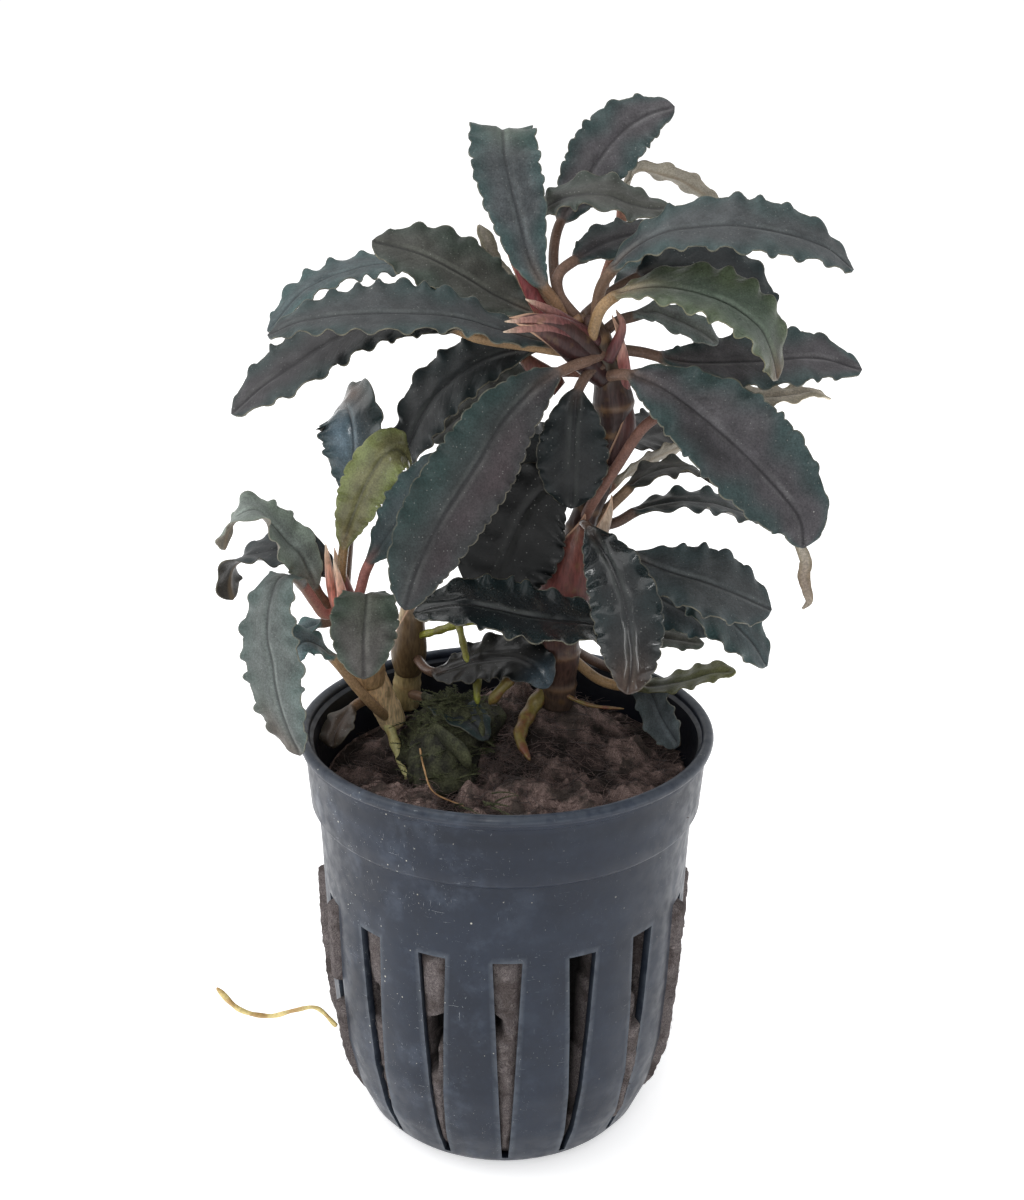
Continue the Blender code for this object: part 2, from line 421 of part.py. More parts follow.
def leaf_faces(count):
    """Triangles through a leaf's rings. The upper and the lower side are split along the same lines,
    so that the two never cross in the thin margins."""
    faces = [(3, 2, 1, 0)]
    for low in range(0, 4 * (count - 1), 4):
        for i in range(4):
            a, b = low + i, low + (i + 1) % 4
            c, d = b + 4, a + 4
            faces += [(a, b, c), (a, c, d)] if i % 2 == 0 else [(a, b, d), (b, c, d)]
    top = 4 * (count - 1)
    return faces + [(top + i, top + (i + 1) % 4, top + 4) for i in range(4)]


def leaf_solid(leaf):
    """A thin leaf with its stalk: a kite-shaped section whose margins wave up and down."""
    path = smooth_path([spot(*s) for s in leaf.spine], FINE_STEP)
    path = clear_of_stems(path, GAP + STALK_THICKNESS / 2)
    path = smooth_path(path, LEAF_STEP)
    directions = tangents(path)
    normals = turn_normals(path, leaf)
    keel = math.radians(leaf.keel)
    rings = []
    stations = list(zip(path[:-1], directions, normals, [i / (len(path) - 1) for i in range(len(path))]))
    near_tip = 1 - TIP_RING / (len(path) - 1)
    stations.append((path[-2].lerp(path[-1], 1 - TIP_RING), directions[-1], normals[-1], near_tip))
    for i, (centre, direction, normal, along) in enumerate(stations):
        share = blade_share(along, leaf.stalk)
        across = direction.cross(normal)
        blade = leaf.width / 2 * blade_profile(share)
        half = max(STALK_THICKNESS / 2, blade)
        opening = min(1.0, blade / (leaf.width / 2))
        thickness = STALK_THICKNESS + (LEAF_THICKNESS - STALK_THICKNESS) * opening
        lift = half * math.sin(keel) * opening
        wave = RUFFLE * opening * min(1.0, leaf.width / RUFFLED_WIDTH) * (-1) ** i
        side = across * half * math.cos(keel)
        rings.append([centre - side + normal * (lift + wave), centre + normal * thickness / 2,
                      centre + side + normal * (lift - wave), centre - normal * thickness / 2])
    points = [p for ring in rings for p in ring] + [path[-1]]
    return add_object(leaf.name, points, leaf_faces(len(rings)), leaf.colour)


def stem_solid(stem):
    """A stem with the pointed sheaths and young leaves of its crown grown together with it."""
    body = tube(stem.name, stem.spine, stem.radii, STEM_STEP, STEM_SIDES, "stem")
    for number, spine in enumerate(stem.spears):
        name = f"{stem.name}_spear_{number}"
        spear = tube(name, spine, SPEAR_RADII, SPEAR_STEP, SPEAR_SIDES, "stem", True)
        spear.hide_render = True
        spear.display_type = "WIRE"
        union = body.modifiers.new(f"Spear {number}", "BOOLEAN")
        union.operation = "UNION"
        union.solver = "EXACT"
        union.object = spear
    return body


def slot_half_angle(height, radius):
    """Half the angle that a slot takes up at a height of the body."""
    share = min(1.0, max(0.0, (height - SLOT_FOOT) / (SLOT_HEAD - SLOT_FOOT)))
    width = SLOT_FOOT_WIDTH + (SLOT_WIDTH - SLOT_FOOT_WIDTH) * share
    return width / 2 / radius


def around(radius, angle, height):
    """A place at an angle from the pot's front, counter-clockwise as seen from above."""
    return Vector((radius * math.sin(angle), -radius * math.cos(angle), height))


def pot_profiles():
    """Outer and inner profile of the pot, as heights and radii from the base up to the rim's top."""
    rim_foot = POT_HEIGHT - LIP_HEIGHT
    outer = [*BODY_PROFILE, (COLLAR_FOOT, COLLAR_FOOT_RADIUS), (rim_foot - COLLAR_STEP, COLLAR_TOP_RADIUS),
             (rim_foot, RIM_RADIUS), (POT_HEIGHT - LIP_ROUND, RIM_RADIUS),
             (POT_HEIGHT, RIM_RADIUS - LIP_ROUND)]
    inner = [(FLOOR, BODY_PROFILE[0][1] - FLOOR_INSET)]
    inner += [(height, radius - WALL) for height, radius in BODY_PROFILE[1:]]
    inner += [(rim_foot, COLLAR_TOP_RADIUS - WALL), (POT_HEIGHT, RIM_RADIUS - RIM_WIDTH)]
    return outer, inner


def pot_ring(height, radius):
    """Points round the pot at a height: both edges of each slot, and the middle of each rib."""
    half = slot_half_angle(height, radius)
    pitch = 2 * math.pi / SLOTS
    ring = []
    for slot in range(SLOTS):
        middle = slot * pitch + math.radians(SLOT_PHASE)
        ring += [around(radius, middle + turn, height) for turn in (-half, half, pitch / 2)]
    return ring


def pot_solid():
    """The net pot, open between the two edges of each slot."""
    outer, inner = pot_profiles()
    rings = [pot_ring(*level) for level in outer] + [pot_ring(*level) for level in reversed(inner)]
    heights = [level[0] for level in outer] + [level[0] for level in reversed(inner)]
    size = len(rings[0])
    faces = [tuple(reversed(range(size)))]
    open_rows = []
    for row in range(len(rings) - 1):
        in_slots = min(heights[row], heights[row + 1]) >= SLOT_FOOT
        in_slots = in_slots and max(heights[row], heights[row + 1]) <= SLOT_HEAD
        if in_slots:
            open_rows.append(row)
        for i in range(size):
            j = (i + 1) % size
            if in_slots and i % 3 == 0:
                continue
            low, high = row * size, (row + 1) * size
            faces.append((low + i, low + j, high + j, high + i))
    faces.append(tuple(range((len(rings) - 1) * size, len(rings) * size)))
    faces += slot_walls(open_rows, heights, size)
    points = [p for ring in rings for p in ring]
    return add_object("net_pot", points, faces, "pot_plastic")


def slot_walls(open_rows, heights, size):
    """The faces through the wall at the sides, the foot and the head of every slot."""
    outside = [row for row in open_rows if heights[row] < heights[row + 1]]
    outside.append(outside[-1] + 1)
    inside = [next(r for r in range(len(heights) - 1, outside[-1], -1) if heights[r] == heights[row])
              for row in outside]
    faces = []
    for slot in range(SLOTS):
        left, right = 3 * slot, 3 * slot + 1
        for k in range(len(outside) - 1):
            out_low, out_high = outside[k] * size, outside[k + 1] * size
            in_low, in_high = inside[k] * size, inside[k + 1] * size
            faces.append((out_high + left, out_low + left, in_low + left, in_high + left))
            faces.append((out_low + right, out_high + right, in_high + right, in_low + right))
        foot_out, foot_in = outside[0] * size, inside[0] * size
        head_out, head_in = outside[-1] * size, inside[-1] * size
        faces.append((foot_out + left, foot_out + right, foot_in + right, foot_in + left))
        faces.append((head_out + right, head_out + left, head_in + left, head_in + right))
    return faces


def wool_height(x, y):
    """Height of the rock wool's top: a mound under the main stem, and a dip at the back left."""
    off = (Vector((x, y)) - MOUND_CENTRE).length / MOUND_SPREAD
    dip = max(0.0, (y - x) / (2 * RIM_RADIUS))
    return WOOL_TOP + MOUND_HEIGHT * math.exp(-off * off) - WOOL_DIP * dip


def radius_at(profile, height):
    """The radius of a profile at a height."""
    heights, radii = zip(*profile)
    return float(np.interp(height, heights, radii))


def wool_ring(height):
    """Points round the wool at a height. Inside each slot it stands out past the wall."""
    pitch = 2 * math.pi / SLOTS
    outer, inner = pot_profiles()
    radius = radius_at(outer, height)
    inside = radius_at(inner, height) - GAP
    in_slots = SLOT_FOOT + 1 < height < SLOT_HEAD - 1
    ring = []
    for slot, bulge in enumerate(WOOL_BULGES):
        middle = slot * pitch + math.radians(SLOT_PHASE)
        half = max(WOOL_SLOT_LEAST / radius, slot_half_angle(height, radius) - WOOL_SLOT_GAP / radius)
        reach = inside
        if in_slots:
            reach = radius + bulge * min(1.0, (height - SLOT_FOOT) / BULGE_RISE)
        outer_half = WOOL_SLOT_TAPER * half
        for distance, turn in ((inside, -half), (reach, -outer_half), (reach, outer_half), (inside, half)):
            ring.append(around(distance, middle + turn, height))
    return ring


def wool_solid():
    """The rock wool plug, from just above the pot's floor to its uneven top."""
    rings = [wool_ring(height) for height in WOOL_LEVELS]
    rim = [Vector((p.x, p.y, 0)) * ((COLLAR_FOOT_RADIUS - 2 * WALL) / p.length) for p in
           (Vector((q.x, q.y, 0)) for q in rings[0])]
    for k in range(WOOL_RINGS):
        inward = 1 - k / WOOL_RINGS
        inner = [inward * p for p in rim]
        rings.append([Vector((p.x, p.y, wool_height(p.x, p.y))) for p in inner])
    centre = Vector((0, 0, wool_height(0, 0)))
    return add_object("rock_wool", *loft(rings, centre), "rock_wool")


def moss_solid():
    """A low lumpy cushion of moss that stands just clear of the wool."""
    rings = []
    for k in range(MOSS_RINGS):
        spread = math.cos(k / MOSS_RINGS * math.pi / 2)
        ring = []
        for side in range(MOSS_SIDES):
            turn = 2 * math.pi * side / MOSS_SIDES
            lump = 1 + sum(share * math.sin(count * turn + shift * k) for count, share, shift in MOSS_LUMPS)
            x = MOSS_CENTRE.x + MOSS_SIZE.x * spread * lump * math.cos(turn)
            y = MOSS_CENTRE.y + MOSS_SIZE.y * spread * lump * math.sin(turn)
            ring.append(Vector((x, y, wool_height(x, y) + 2 * GAP + MOSS_HEIGHT * k / MOSS_RINGS)))
        rings.append(ring)
    x, y = MOSS_CENTRE
    tip = Vector((x, y, wool_height(x, y) + MOSS_HEIGHT))
    return add_object("moss_clump", *loft(rings, tip), "moss")


def clear_scene():
    """Removes what the file held before."""
    for old in list(bpy.data.objects):
        bpy.data.objects.remove(old, do_unlink=True)


clear_scene()
pot_solid()
wool_solid()
for stem_row in STEMS:
    stem_solid(stem_row)
for leaf_row in LEAVES:
    leaf_solid(leaf_row)
moss_solid()
tube("hanging_root", ROOT_SPINE, ROOT_RADII, ROOT_STEP, ROOT_SIDES, "root")
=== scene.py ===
"""Looks of a bucephalandra that grows in a slotted net pot filled with rock wool.

Metres, +Z up, and the pot's front faces -Y. Sizes are written in millimetres, and MM turns them
into metres where a mesh is made. Stems and leaves follow the spines that their solids are built on.
"""

import math
from collections import namedtuple

import bpy
import numpy as np
from mathutils import Matrix, Vector, noise


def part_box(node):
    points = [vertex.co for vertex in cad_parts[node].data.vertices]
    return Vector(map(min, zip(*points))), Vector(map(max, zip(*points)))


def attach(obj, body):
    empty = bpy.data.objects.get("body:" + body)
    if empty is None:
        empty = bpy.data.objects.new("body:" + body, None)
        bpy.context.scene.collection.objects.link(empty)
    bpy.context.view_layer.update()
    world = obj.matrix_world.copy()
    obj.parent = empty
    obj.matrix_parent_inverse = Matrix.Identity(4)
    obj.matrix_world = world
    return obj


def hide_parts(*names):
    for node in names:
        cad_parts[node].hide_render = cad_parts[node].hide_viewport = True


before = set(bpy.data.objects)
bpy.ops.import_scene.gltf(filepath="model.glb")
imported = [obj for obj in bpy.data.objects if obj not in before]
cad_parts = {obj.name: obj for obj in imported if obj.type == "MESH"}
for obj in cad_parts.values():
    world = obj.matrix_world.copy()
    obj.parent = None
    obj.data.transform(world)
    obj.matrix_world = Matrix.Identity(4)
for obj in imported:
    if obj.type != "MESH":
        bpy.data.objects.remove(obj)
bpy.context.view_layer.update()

MM = 0.001
WOOL_SEED, LEAF_SEED, STEM_SEED, MOSS_SEED = 3, 40, 7, 11  # where the random draws start

# The net pot, as its solid has it
RIM_RADIUS, _, POT_HEIGHT = (float(value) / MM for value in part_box("net_pot")[1])
LIP_HEIGHT = 1.6
LIP_RADIUS, LIP_TURNS = 0.72, (-0.9, 3.6, 15)
COLLAR_TOP_RADIUS = 25.1
WALL = 1.0
FLOOR = 1.2
# Heights and radii of the outside below and above the slots, and of the inside above them
ROUND_FOOT = ((0.0, 4.0), (0.0, 9.0), (0.0, 14.0), (0.0, 15.6), (0.15, 16.5), (0.7, 17.5), (1.4, 18.3))
UPPER_WALL = ((34.5, 23.25), (37.0, 23.39), (40.0, 23.55), (43.3, 23.76), (43.9, 23.82), (44.5, 24.5),
              (44.75, 24.62), (46.5, 24.75), (49.0, 24.93), (51.4, COLLAR_TOP_RADIUS))
INNER_WALL = ((37.0, 22.4), (41.0, 22.7), (44.0, 22.9), (47.0, 23.2), (50.0, 23.6))
BODY_PROFILE = ((0.0, 16.2), (2.2, 18.8), (6.6, 20.7), (13.5, 22.1), (22.5, 22.8), (33.6, 23.2), (44.0, 23.8))
SLOTS = 16
SLOT_WIDTH = 3.5
SLOT_FOOT_WIDTH = 0.8
SLOT_FOOT, SLOT_HEAD = 2.2, 33.6
SLOT_PHASE = 1.0  # degrees to the right of the pot's front
SLOT_ROWS = 26
SLOT_COLUMNS, RIB_COLUMNS = 4, 9

# Rock wool: its top is a mound under the main stem
WOOL_TOP = 47.5
WOOL_DIP = 2.0
MOUND_CENTRE = (5.0, 5.0)
MOUND_HEIGHT = 6.0
MOUND_SPREAD = 8.0
RIDGE_CENTRE = (1.0, 15.0)  # matted roots behind the stems
RIDGE_HEIGHT = 3.4
RIDGE_SPREAD = 9.0
KNOLLS = 46  # small mounds of matted roots on the wool
KNOLL_HEIGHTS, KNOLL_SPREADS = (0.8, 2.8), (1.3, 3.4)
WOOL_BULGES = (-0.5, -1.0, 0.3, 1.0, 0.9, 0.5, -0.5, 0.2, -0.3, 0.3, 0.5, 0.8, 1.2, 0.9, -0.6, -0.3)
# Where the wool has pulled back from a slot: slot, lower and upper height, left and right edge
# as shares of the slot's half width, depth
WOOL_VOIDS = (
    (0, 22.6, 24.8, -1.0, -0.5, 2.5),
    (1, 2.0, 34.0, -1.0, 1.0, 2.8),
    (2, 20.0, 34.0, -0.2, 1.0, 2.6),
    (2, 26.0, 34.0, -1.0, 1.0, 2.6),
    (15, 20.5, 24.4, -1.0, 1.0, 2.8),
    (15, 16.8, 21.0, -1.0, -0.2, 2.6),
    (14, 20.4, 25.4, -1.0, 0.0, 2.6),
    (13, 18.6, 22.2, -1.0, 1.0, 2.6),
    (14, 4.5, 7.0, -1.0, 0.1, 2.0),
    (6, 12.0, 17.0, -1.0, 1.0, 2.6),
    (8, 24.0, 30.0, -1.0, 0.2, 2.6),
    (9, 8.0, 13.0, 0.0, 1.0, 2.4),
    (10, 18.0, 23.0, -1.0, 1.0, 2.6),
)

# Leaves and stems
LEAF_STEP = 0.25  # between the rings of a leaf
LEAF_COLUMNS = 21
BLADE_THICKNESS = 0.34
MARGIN_THICKNESS = 0.13
STALK_THICKNESS = 1.2
STALK_REACH = (1.0, 4.5)  # a stalk that starts this far from a stem's middle runs into it,
STALK_SINK = 0.7  # by this share of the way
STEM_CLEARANCE = 0.9  # a stalk counts from where its middle is this far from every stem
LOBE_SHORTEST, LOBE_LONGEST = 0.9, 2.2  # lengths of the waves of a margin
LOBE_RISES = (0.308, 0.644)  # how far a wave stands out of the blade, from least to most
LOBE_NOTCHES = (0.26, 0.572)  # how far the margin draws in between two waves
BOLD_WIDTH = 10.0  # narrower leaves have fainter ribs and margins
RUFFLE_REACH = 2.0  # how far in from the margin its waves reach
SWAY, SWAY_LENGTHS = 0.12, (2.0, 3.4)  # long waves of a half blade
PUFF, PUFF_LENGTHS = 0.1, (0.5, 0.8)  # short swellings between the side veins
STALK_TAPER, STALK_END = 0.8, (0.05, 0.5)  # the stalk thins out over this share of the blade
SPREADING = (0.8, 2.5)  # a stalk turns into a blade while it is this many stalks wide
CROWDING = 0.1  # draws columns towards the midrib and the margins
RIB_GROOVE, RIB_WIDTH = 0.16, 0.34
BANK_HEIGHT, BANK_PLACE, BANK_WIDTH = 0.096, 0.8, 0.35  # low banks along the groove
RIB_RIDGE, RIDGE_WIDTH, RIDGE_TAPER = 0.3, 0.45, 0.7  # the rib below the blade

# The plant is laid out as it is seen from the camera. A spot is (right, up, depth): how far right
# and up of the middle of the view it is seen, at the distance VIEW_REACH, and its real depth Y.
VIEW_FROM = Vector((0.0, -172.1, 132.7))
VIEW_DOWN = 20.0
VIEW_TURN = 0.2
VIEW_ROLL = 0.55
VIEW_REACH = 187.5
LENS = 45.0
SENSOR = 36.0
CURVE_PARTS = 12
RUFFLED_WIDTH = 8.0
BLADE_SKEW, BLADE_BLUNT = 1.2, 0.55
BLADE_MIDDLE = 0.45
WORLD_LIGHT, SEEN_LIGHT = 0.8, 1.05
ROOM_LIGHT_WAY = (-0.15, 0.8, 0.45)
ROOM_LIGHT_RANGE = (-0.75, 0.1, 0.4, 1.0)
FLOOR_GLOW, FLOOR_SPECULAR = 0.5, 0.1
# Area lights: name, place, aim, width and height in metres, power in watts
LIGHTS = (
    ("softbox_above", (-0.3, 0.1, 0.9), (0, 0, 0.05), 0.9, 0.9, 3.2),
    ("softbox_left", (-0.8, 0.1, 0.35), (0, 0, 0.07), 0.5, 0.5, 1.4),
    ("strip_front", (-0.1, -0.65, 0.52), (0, 0, 0.07), 0.04, 0.5, 1.5),
)

# Stems: spine from the ground up, radius at the foot, the middle and the top
Stem = namedtuple("Stem", "name spine radii spears")
STEMS = (
    Stem("main_stem", ((5.6, -13, 3), (5.9, -9, 2.5), (6, -4, 2), (6.8, 3, 1.5), (8.7, 9.4, 1),
         (11, 15.6, 1), (12.6, 21.3, 1), (12.5, 26.3, 0.5), (11, 32, 0), (9.3, 35.5, 0)),
         (2.1, 2.6, 1.7, 1.7, 2.3, 1.2),
         (((10.5, 32.5, -1), (5, 35, -4.5), (-0.9, 34.8, -7.5)),
          ((10, 31.5, -1), (4.5, 34, -5), (-1.1, 33.5, -8)),
          ((9.5, 33, -1), (5, 36, -3), (1.7, 37.6, -5)),
          ((12, 30, -1), (13.8, 34, -1.5), (13, 36.3, -1)))),
    Stem("left_stem", ((-14.8, -15.4, 8), (-16.2, -12.3, 7), (-17.8, -9.3, 6), (-19.5, -5, 5),
         (-20.8, -1, 4)), (1.7, 1.9, 1.8, 1.5),
         (((-21.3, -2, 3.5), (-22.5, 1.5, 2.8), (-23.3, 7, 2.2)),
          ((-21, -2, 3), (-21.3, 1, -0.5), (-22.3, 5, -1.5)))),
    Stem("back_stem", ((-13.4, -13, 14), (-12.9, -8, 13), (-12.6, -3, 12), (-12.2, 2, 11)),
         (1.9, 1.8, 1.6), ()),
)

# Leaves: spine from the stem to the tip, share of it that is stalk, width, turn, twist, keel, colour.
# A turn of 0 shows the upper side to the viewer at the middle of the blade, twist is how much
# further it turns from the blade's foot to its tip, and keel lifts both margins. All in degrees.
Leaf = namedtuple("Leaf", "name spine stalk width turn twist keel colour")
LEAVES = (
    # From the crown of the main stem
    Leaf("leaf_upright", ((7, 34.5, -0.5), (5.6, 37, -0.5), (4, 39.2, -0.3), (2.6, 41.6, 0),
         (1.6, 44.5, 0.4), (0.8, 48, 1), (-0.1, 51.5, 1.8), (-0.9, 55.3, 3), (-1.2, 58.7, 6.5),
         (-1.1, 57.6, 11), (-0.8, 54, 13)), 0.06, 8.1, 12, 0, 5, "green"),
    Leaf("leaf_brown_left", ((7, 34.5, 1.5), (3, 35.8, 3), (-2, 38, 4.3), (-6.5, 40.7, 5.2),
         (-11.5, 43.2, 6), (-17.5, 44.8, 6.8)), 0.12, 11, 47, 0, 8, "brown"),
    Leaf("leaf_long_left", ((8, 32, 0), (4.5, 32.2, -1), (-1.5, 33.7, -2.5), (-8, 35.4, -4),
         (-18, 35.7, -5), (-26, 34.8, -4.5), (-30.5, 33, -4)), 0.05, 12, 63, 0, 10, "green"),
    Leaf("leaf_back_left", ((7.5, 34.5, 3.5), (5.2, 36.5, 7.5), (2, 39.3, 11.2), (-6, 41.7, 13.5),
         (-14, 42.1, 13), (-20, 41.2, 12), (-26, 38.6, 9.5), (-30.5, 33.5, 7)), 0.25, 8.3, 70, 0, 4,
         "bluish"),
    Leaf("leaf_drooping_left", ((8, 31, 0), (2, 31.8, 0.5), (-3.9, 32.7, 1), (-7, 33.9, 1),
         (-11, 34.9, 0.8), (-15, 35, 0.4), (-19, 34, 0.2), (-23, 32, 0), (-27.5, 29.1, -0.8),
         (-31.2, 26.6, -1.3), (-35, 23.2, -2)), 0.3, 11, 55, 0, 5, "purple"),
    Leaf("leaf_small_pale", ((7.5, 34.5, 2), (4, 37.5, 6.5), (0, 40, 9.2), (-2.6, 42.2, 10.2),
         (-3.1, 44.6, 10), (-4.2, 46.9, 10)), 0.5, 2.8, 30, 30, 10, "pale"),
    Leaf("leaf_dark_left", ((9, 31, 1), (4, 31.6, 3), (-1, 30.9, 4.5), (-5, 29.2, 5.2), (-8.5, 26.5, 6),
         (-11, 23.3, 6.3), (-12.8, 19.6, 6.5), (-14, 16.5, 6.5)), 0.15, 9.2, 40, 0, 5, "dark"),
    Leaf("leaf_hidden_left", ((12, 28, 1.5), (6, 28.5, 5), (1, 27, 8), (-5, 24, 10.5), (-10, 20, 12)),
         0.2, 9, 45, 0, 5, "brown"),
    Leaf("leaf_front_left", ((11, 30.5, -1.5), (7.5, 29.2, -4.5), (4.1, 27.5, -7), (1.6, 25.3, -9),
         (-1.3, 22, -10.8), (-4, 17.5, -12.5), (-6.6, 13.5, -13.8), (-9.1, 9.6, -14.9), (-11.9, 4, -15.9),
         (-13.4, -1.2, -16)), 0.1, 9.8, 5, 0, 12, "purple"),
    Leaf("leaf_under_crown", ((11, 29, -1.5), (9.7, 28.5, -2.3), (8.2, 26, -3.8), (7.8, 22.5, -4.7),
         (7.6, 18.8, -5), (7.5, 15, -5), (7.4, 11.5, -4)), 0.12, 8.6, 0, 0, -8, "dark"),
    Leaf("leaf_top", ((8.5, 34.5, 2), (6, 38, 4), (5.2, 42, 6), (5.6, 46, 8), (7.2, 49.3, 10),
         (9, 52.2, 11.2), (10.9, 55.1, 12), (12.8, 57.5, 13.2), (14.6, 59.2, 14.2), (16.5, 60.4, 15),
         (18.2, 61.1, 15.5), (20.3, 61.6, 16)), 0.35, 8.4, -15, -20, 6, "purple"),
    Leaf("leaf_top_middle", ((8, 34.5, 1), (4, 38.5, 3), (2.6, 43, 4.3), (3.2, 47.5, 4.8),
         (5.4, 49.7, 4.5), (8.5, 50.6, 4), (11.6, 50.6, 3.5), (14.7, 49.5, 3.5), (17.3, 48.9, 3.6),
         (20, 49, 4)), 0.35, 7.6, -60, 0, 8, "brown"),
    Leaf("leaf_small_dark", ((8.5, 35, 0.5), (6, 38, 0.8), (5.9, 40.8, 1.3), (8.4, 42.8, 3),
         (11.4, 44.5, 5), (15, 45.6, 7), (18.5, 46.4, 8)), 0.3, 6.8, -50, 0, 5, "purple"),
    Leaf("leaf_pale_back", ((9.5, 34, 3), (10.6, 35.6, 5), (11.3, 37.5, 7), (11.6, 40, 9), (12.6, 43, 11),
         (13.5, 46, 12.5), (13.8, 49, 14), (14.3, 52, 15), (15.4, 53.9, 15.6), (17.3, 53.8, 16.4),
         (19.1, 53.3, 17), (21, 52.7, 17.5), (22.9, 51.6, 18), (24.4, 50.5, 18.2), (26.2, 49.2, 18.3)),
         0.5, 4.6, -115, 0, 5, "pale"),
    Leaf("leaf_long_right", ((10.5, 33.5, 0), (10.6, 36.5, -1), (11.2, 39.2, -1.4), (12.7, 41.4, -1.7),
         (15.1, 43.8, -2), (19.1, 45.9, -3), (24, 46.6, -3.5), (28.5, 46.7, -4), (35, 45.5, -4),
         (39.5, 43.8, -3.5), (42.6, 41.2, -3)), 0.07, 11.3, -58, 0, 6, "green"),
    Leaf("leaf_olive_right", ((10, 33, -2), (10.9, 36, -3), (12.6, 37.8, -3.8), (15, 38.7, -4.8),
         (17.9, 39.1, -5.6), (21, 38.8, -6.6), (24, 38.1, -7.6), (27.6, 36.6, -8.6), (30.6, 34.3, -9),
         (31.9, 32.2, -9), (32.6, 30, -8.8), (33.1, 27.5, -8.5)), 0.08, 10.6, -57, 0, 10, "olive"),
    Leaf("leaf_back_right", ((9.5, 36, 2), (14, 39.5, 4), (20, 41.6, 6), (26, 40.6, 7), (30.3, 37.4, 6.5),
         (32.6, 33.8, 6)), 0.2, 10.3, -45, 0, 5, "dark"),
    Leaf("leaf_narrow_right", ((11, 33, 1), (13.2, 34.8, 1), (15.4, 35.5, 0.8), (17.6, 36, 0.5),
         (19.6, 35.4, 0.2), (21.7, 34.5, 0), (23.8, 33.4, -0.5), (25.7, 31.9, -1)), 0.1, 5, -52, 0, 5,
         "dark"),
    Leaf("leaf_far_right", ((11, 31.5, 1), (16, 31, 4), (22, 29.7, 6), (31, 29.8, 8), (38, 30.2, 9),
         (43.7, 28.7, 9)), 0.15, 10.4, -48, 0, 6, "purple"),
    Leaf("leaf_curled_right", ((12, 28.5, 2), (18, 27, 6), (25, 25.3, 8), (31.5, 25.3, 9), (35, 25.6, 9.5),
         (37.6, 26, 10), (39.8, 25.1, 10.5)), 0.25, 5, -60, -20, 5, "pale"),
    Leaf("leaf_front_right", ((12, 28, -1), (14.1, 28.2, -4), (17.2, 27.3, -6), (21.1, 25, -8.2),
         (26.2, 20.8, -10.5), (30.1, 17.1, -11.8), (33.6, 13.3, -12.6), (36, 10, -13),
         (36.4, 6.5, -13.5)), 0.05, 12.4, -25, 0, 15, "purple"),
    Leaf("leaf_withered", ((34.2, 9.6, -10.5), (35.8, 7, -11), (36.7, 4.9, -11), (36.5, 2.9, -11),
         (36.9, 1.1, -11), (37.1, -0.2, -11), (36.3, -1.1, -11)), 0, 1.5, 0, 90, 0, "pale"),
    # From the side shoot, half way up the main stem
    Leaf("leaf_hanging_front", ((8.7, 8.5, 1), (9, 9.4, -2), (9.7, 8.8, -4), (11.3, 6.2, -7.3),
         (12.7, 3.6, -9.6), (14.05, -0.3, -12.4), (14.65, -4.3, -14.9), (14.9, -8.3, -16.6),
         (14.4, -11.8, -17.5)), 0.04, 8.5, 0, 0, -12, "dark"),
    Leaf("leaf_right_low", ((8.7, 8.5, 1), (12.5, 7, -1), (16, 5, -2), (20, 3.4, -3), (24, 2.2, -4),
         (28, 0.7, -4.5), (32.4, -1.3, -4.5)), 0.15, 12.2, -47, 0, 5, "dark"),
    Leaf("leaf_right_lower", ((8, 6, 2), (13, 3.5, 4), (18, 0.5, 5), (23, -2.3, 5), (25.5, -4, 5)),
         0.15, 8, -35, 0, 5, "dark"),
    Leaf("leaf_right_lowest", ((8.3, 6, 1), (13, 5, 1.5), (17.5, 4.2, 1.2), (22.1, 2, 0.5), (25, -0.5, 0),
         (27.8, -3.1, -0.4), (30.1, -5.5, -0.8), (31.8, -8.3, -1)), 0.15, 10.6, -52, 0, 5, "bluish"),
    Leaf("leaf_brown_small", ((6.5, 0, 2), (13, -3, 4), (18, -4.6, 5), (24, -5.5, 6)), 0.3, 4.8, -60, 0,
         5, "brown"),
    Leaf("leaf_olive_low", ((6.2, -6, 2.5), (11, -10, 4), (16, -10.9, 4), (21, -10.3, 3), (25, -9.2, 2),
         (28, -9, 1)), 0.35, 5.5, -60, 0, 5, "olive"),
    Leaf("leaf_edge_on", ((8.7, 9.4, 1), (10.8, 10.4, 1.6), (13.5, 12.9, 2.4), (15.8, 15, 3),
         (18.5, 16.2, 3.7), (22, 16.5, 4.4), (25.2, 14.6, 5)), 0.12, 9, -73, 0, 3, "brown"),
    Leaf("leaf_low_arching", ((9, 8.8, 2), (13, 9.7, 4), (16, 11.3, 5), (20, 12.2, 5.5), (23.5, 12.2, 6),
         (27, 11.5, 6), (31, 9.8, 6)), 0.2, 8.3, -70, 0, 5, "dark"),
    Leaf("leaf_pale_under", ((9.4, 11, 2), (12, 13.9, 5), (15.8, 16.9, 8.8), (19.6, 18.7, 11),
         (23, 20, 12)), 0.1, 4.4, -110, 0, 0, "pale"),
    Leaf("leaf_dark_behind", ((12, 18.5, 1), (15, 19.8, 10), (19, 21, 17), (25, 21, 20), (30, 18.5, 21)),
         0.1, 10, -55, 0, 5, "dark"),
    Leaf("leaf_long_stalk", ((8.7, 9.4, 1), (10, 12, -1.5), (12.9, 16.4, -2.5), (17, 22.1, -2.5),
         (22, 23.8, -1), (28, 22, 0), (32, 18.5, 0.5)), 0.5, 10, -55, 0, 8, "brown"),
    Leaf("leaf_shaded", ((10.5, 17, 0), (8.5, 17, -1.6), (6.3, 15.8, -2.4), (3.7, 13.7, -2.9),
         (1.5, 11, -3), (0.2, 8.3, -3), (-0.9, 5.8, -3), (-1.7, 3.4, -3), (-2.3, 1, -3),
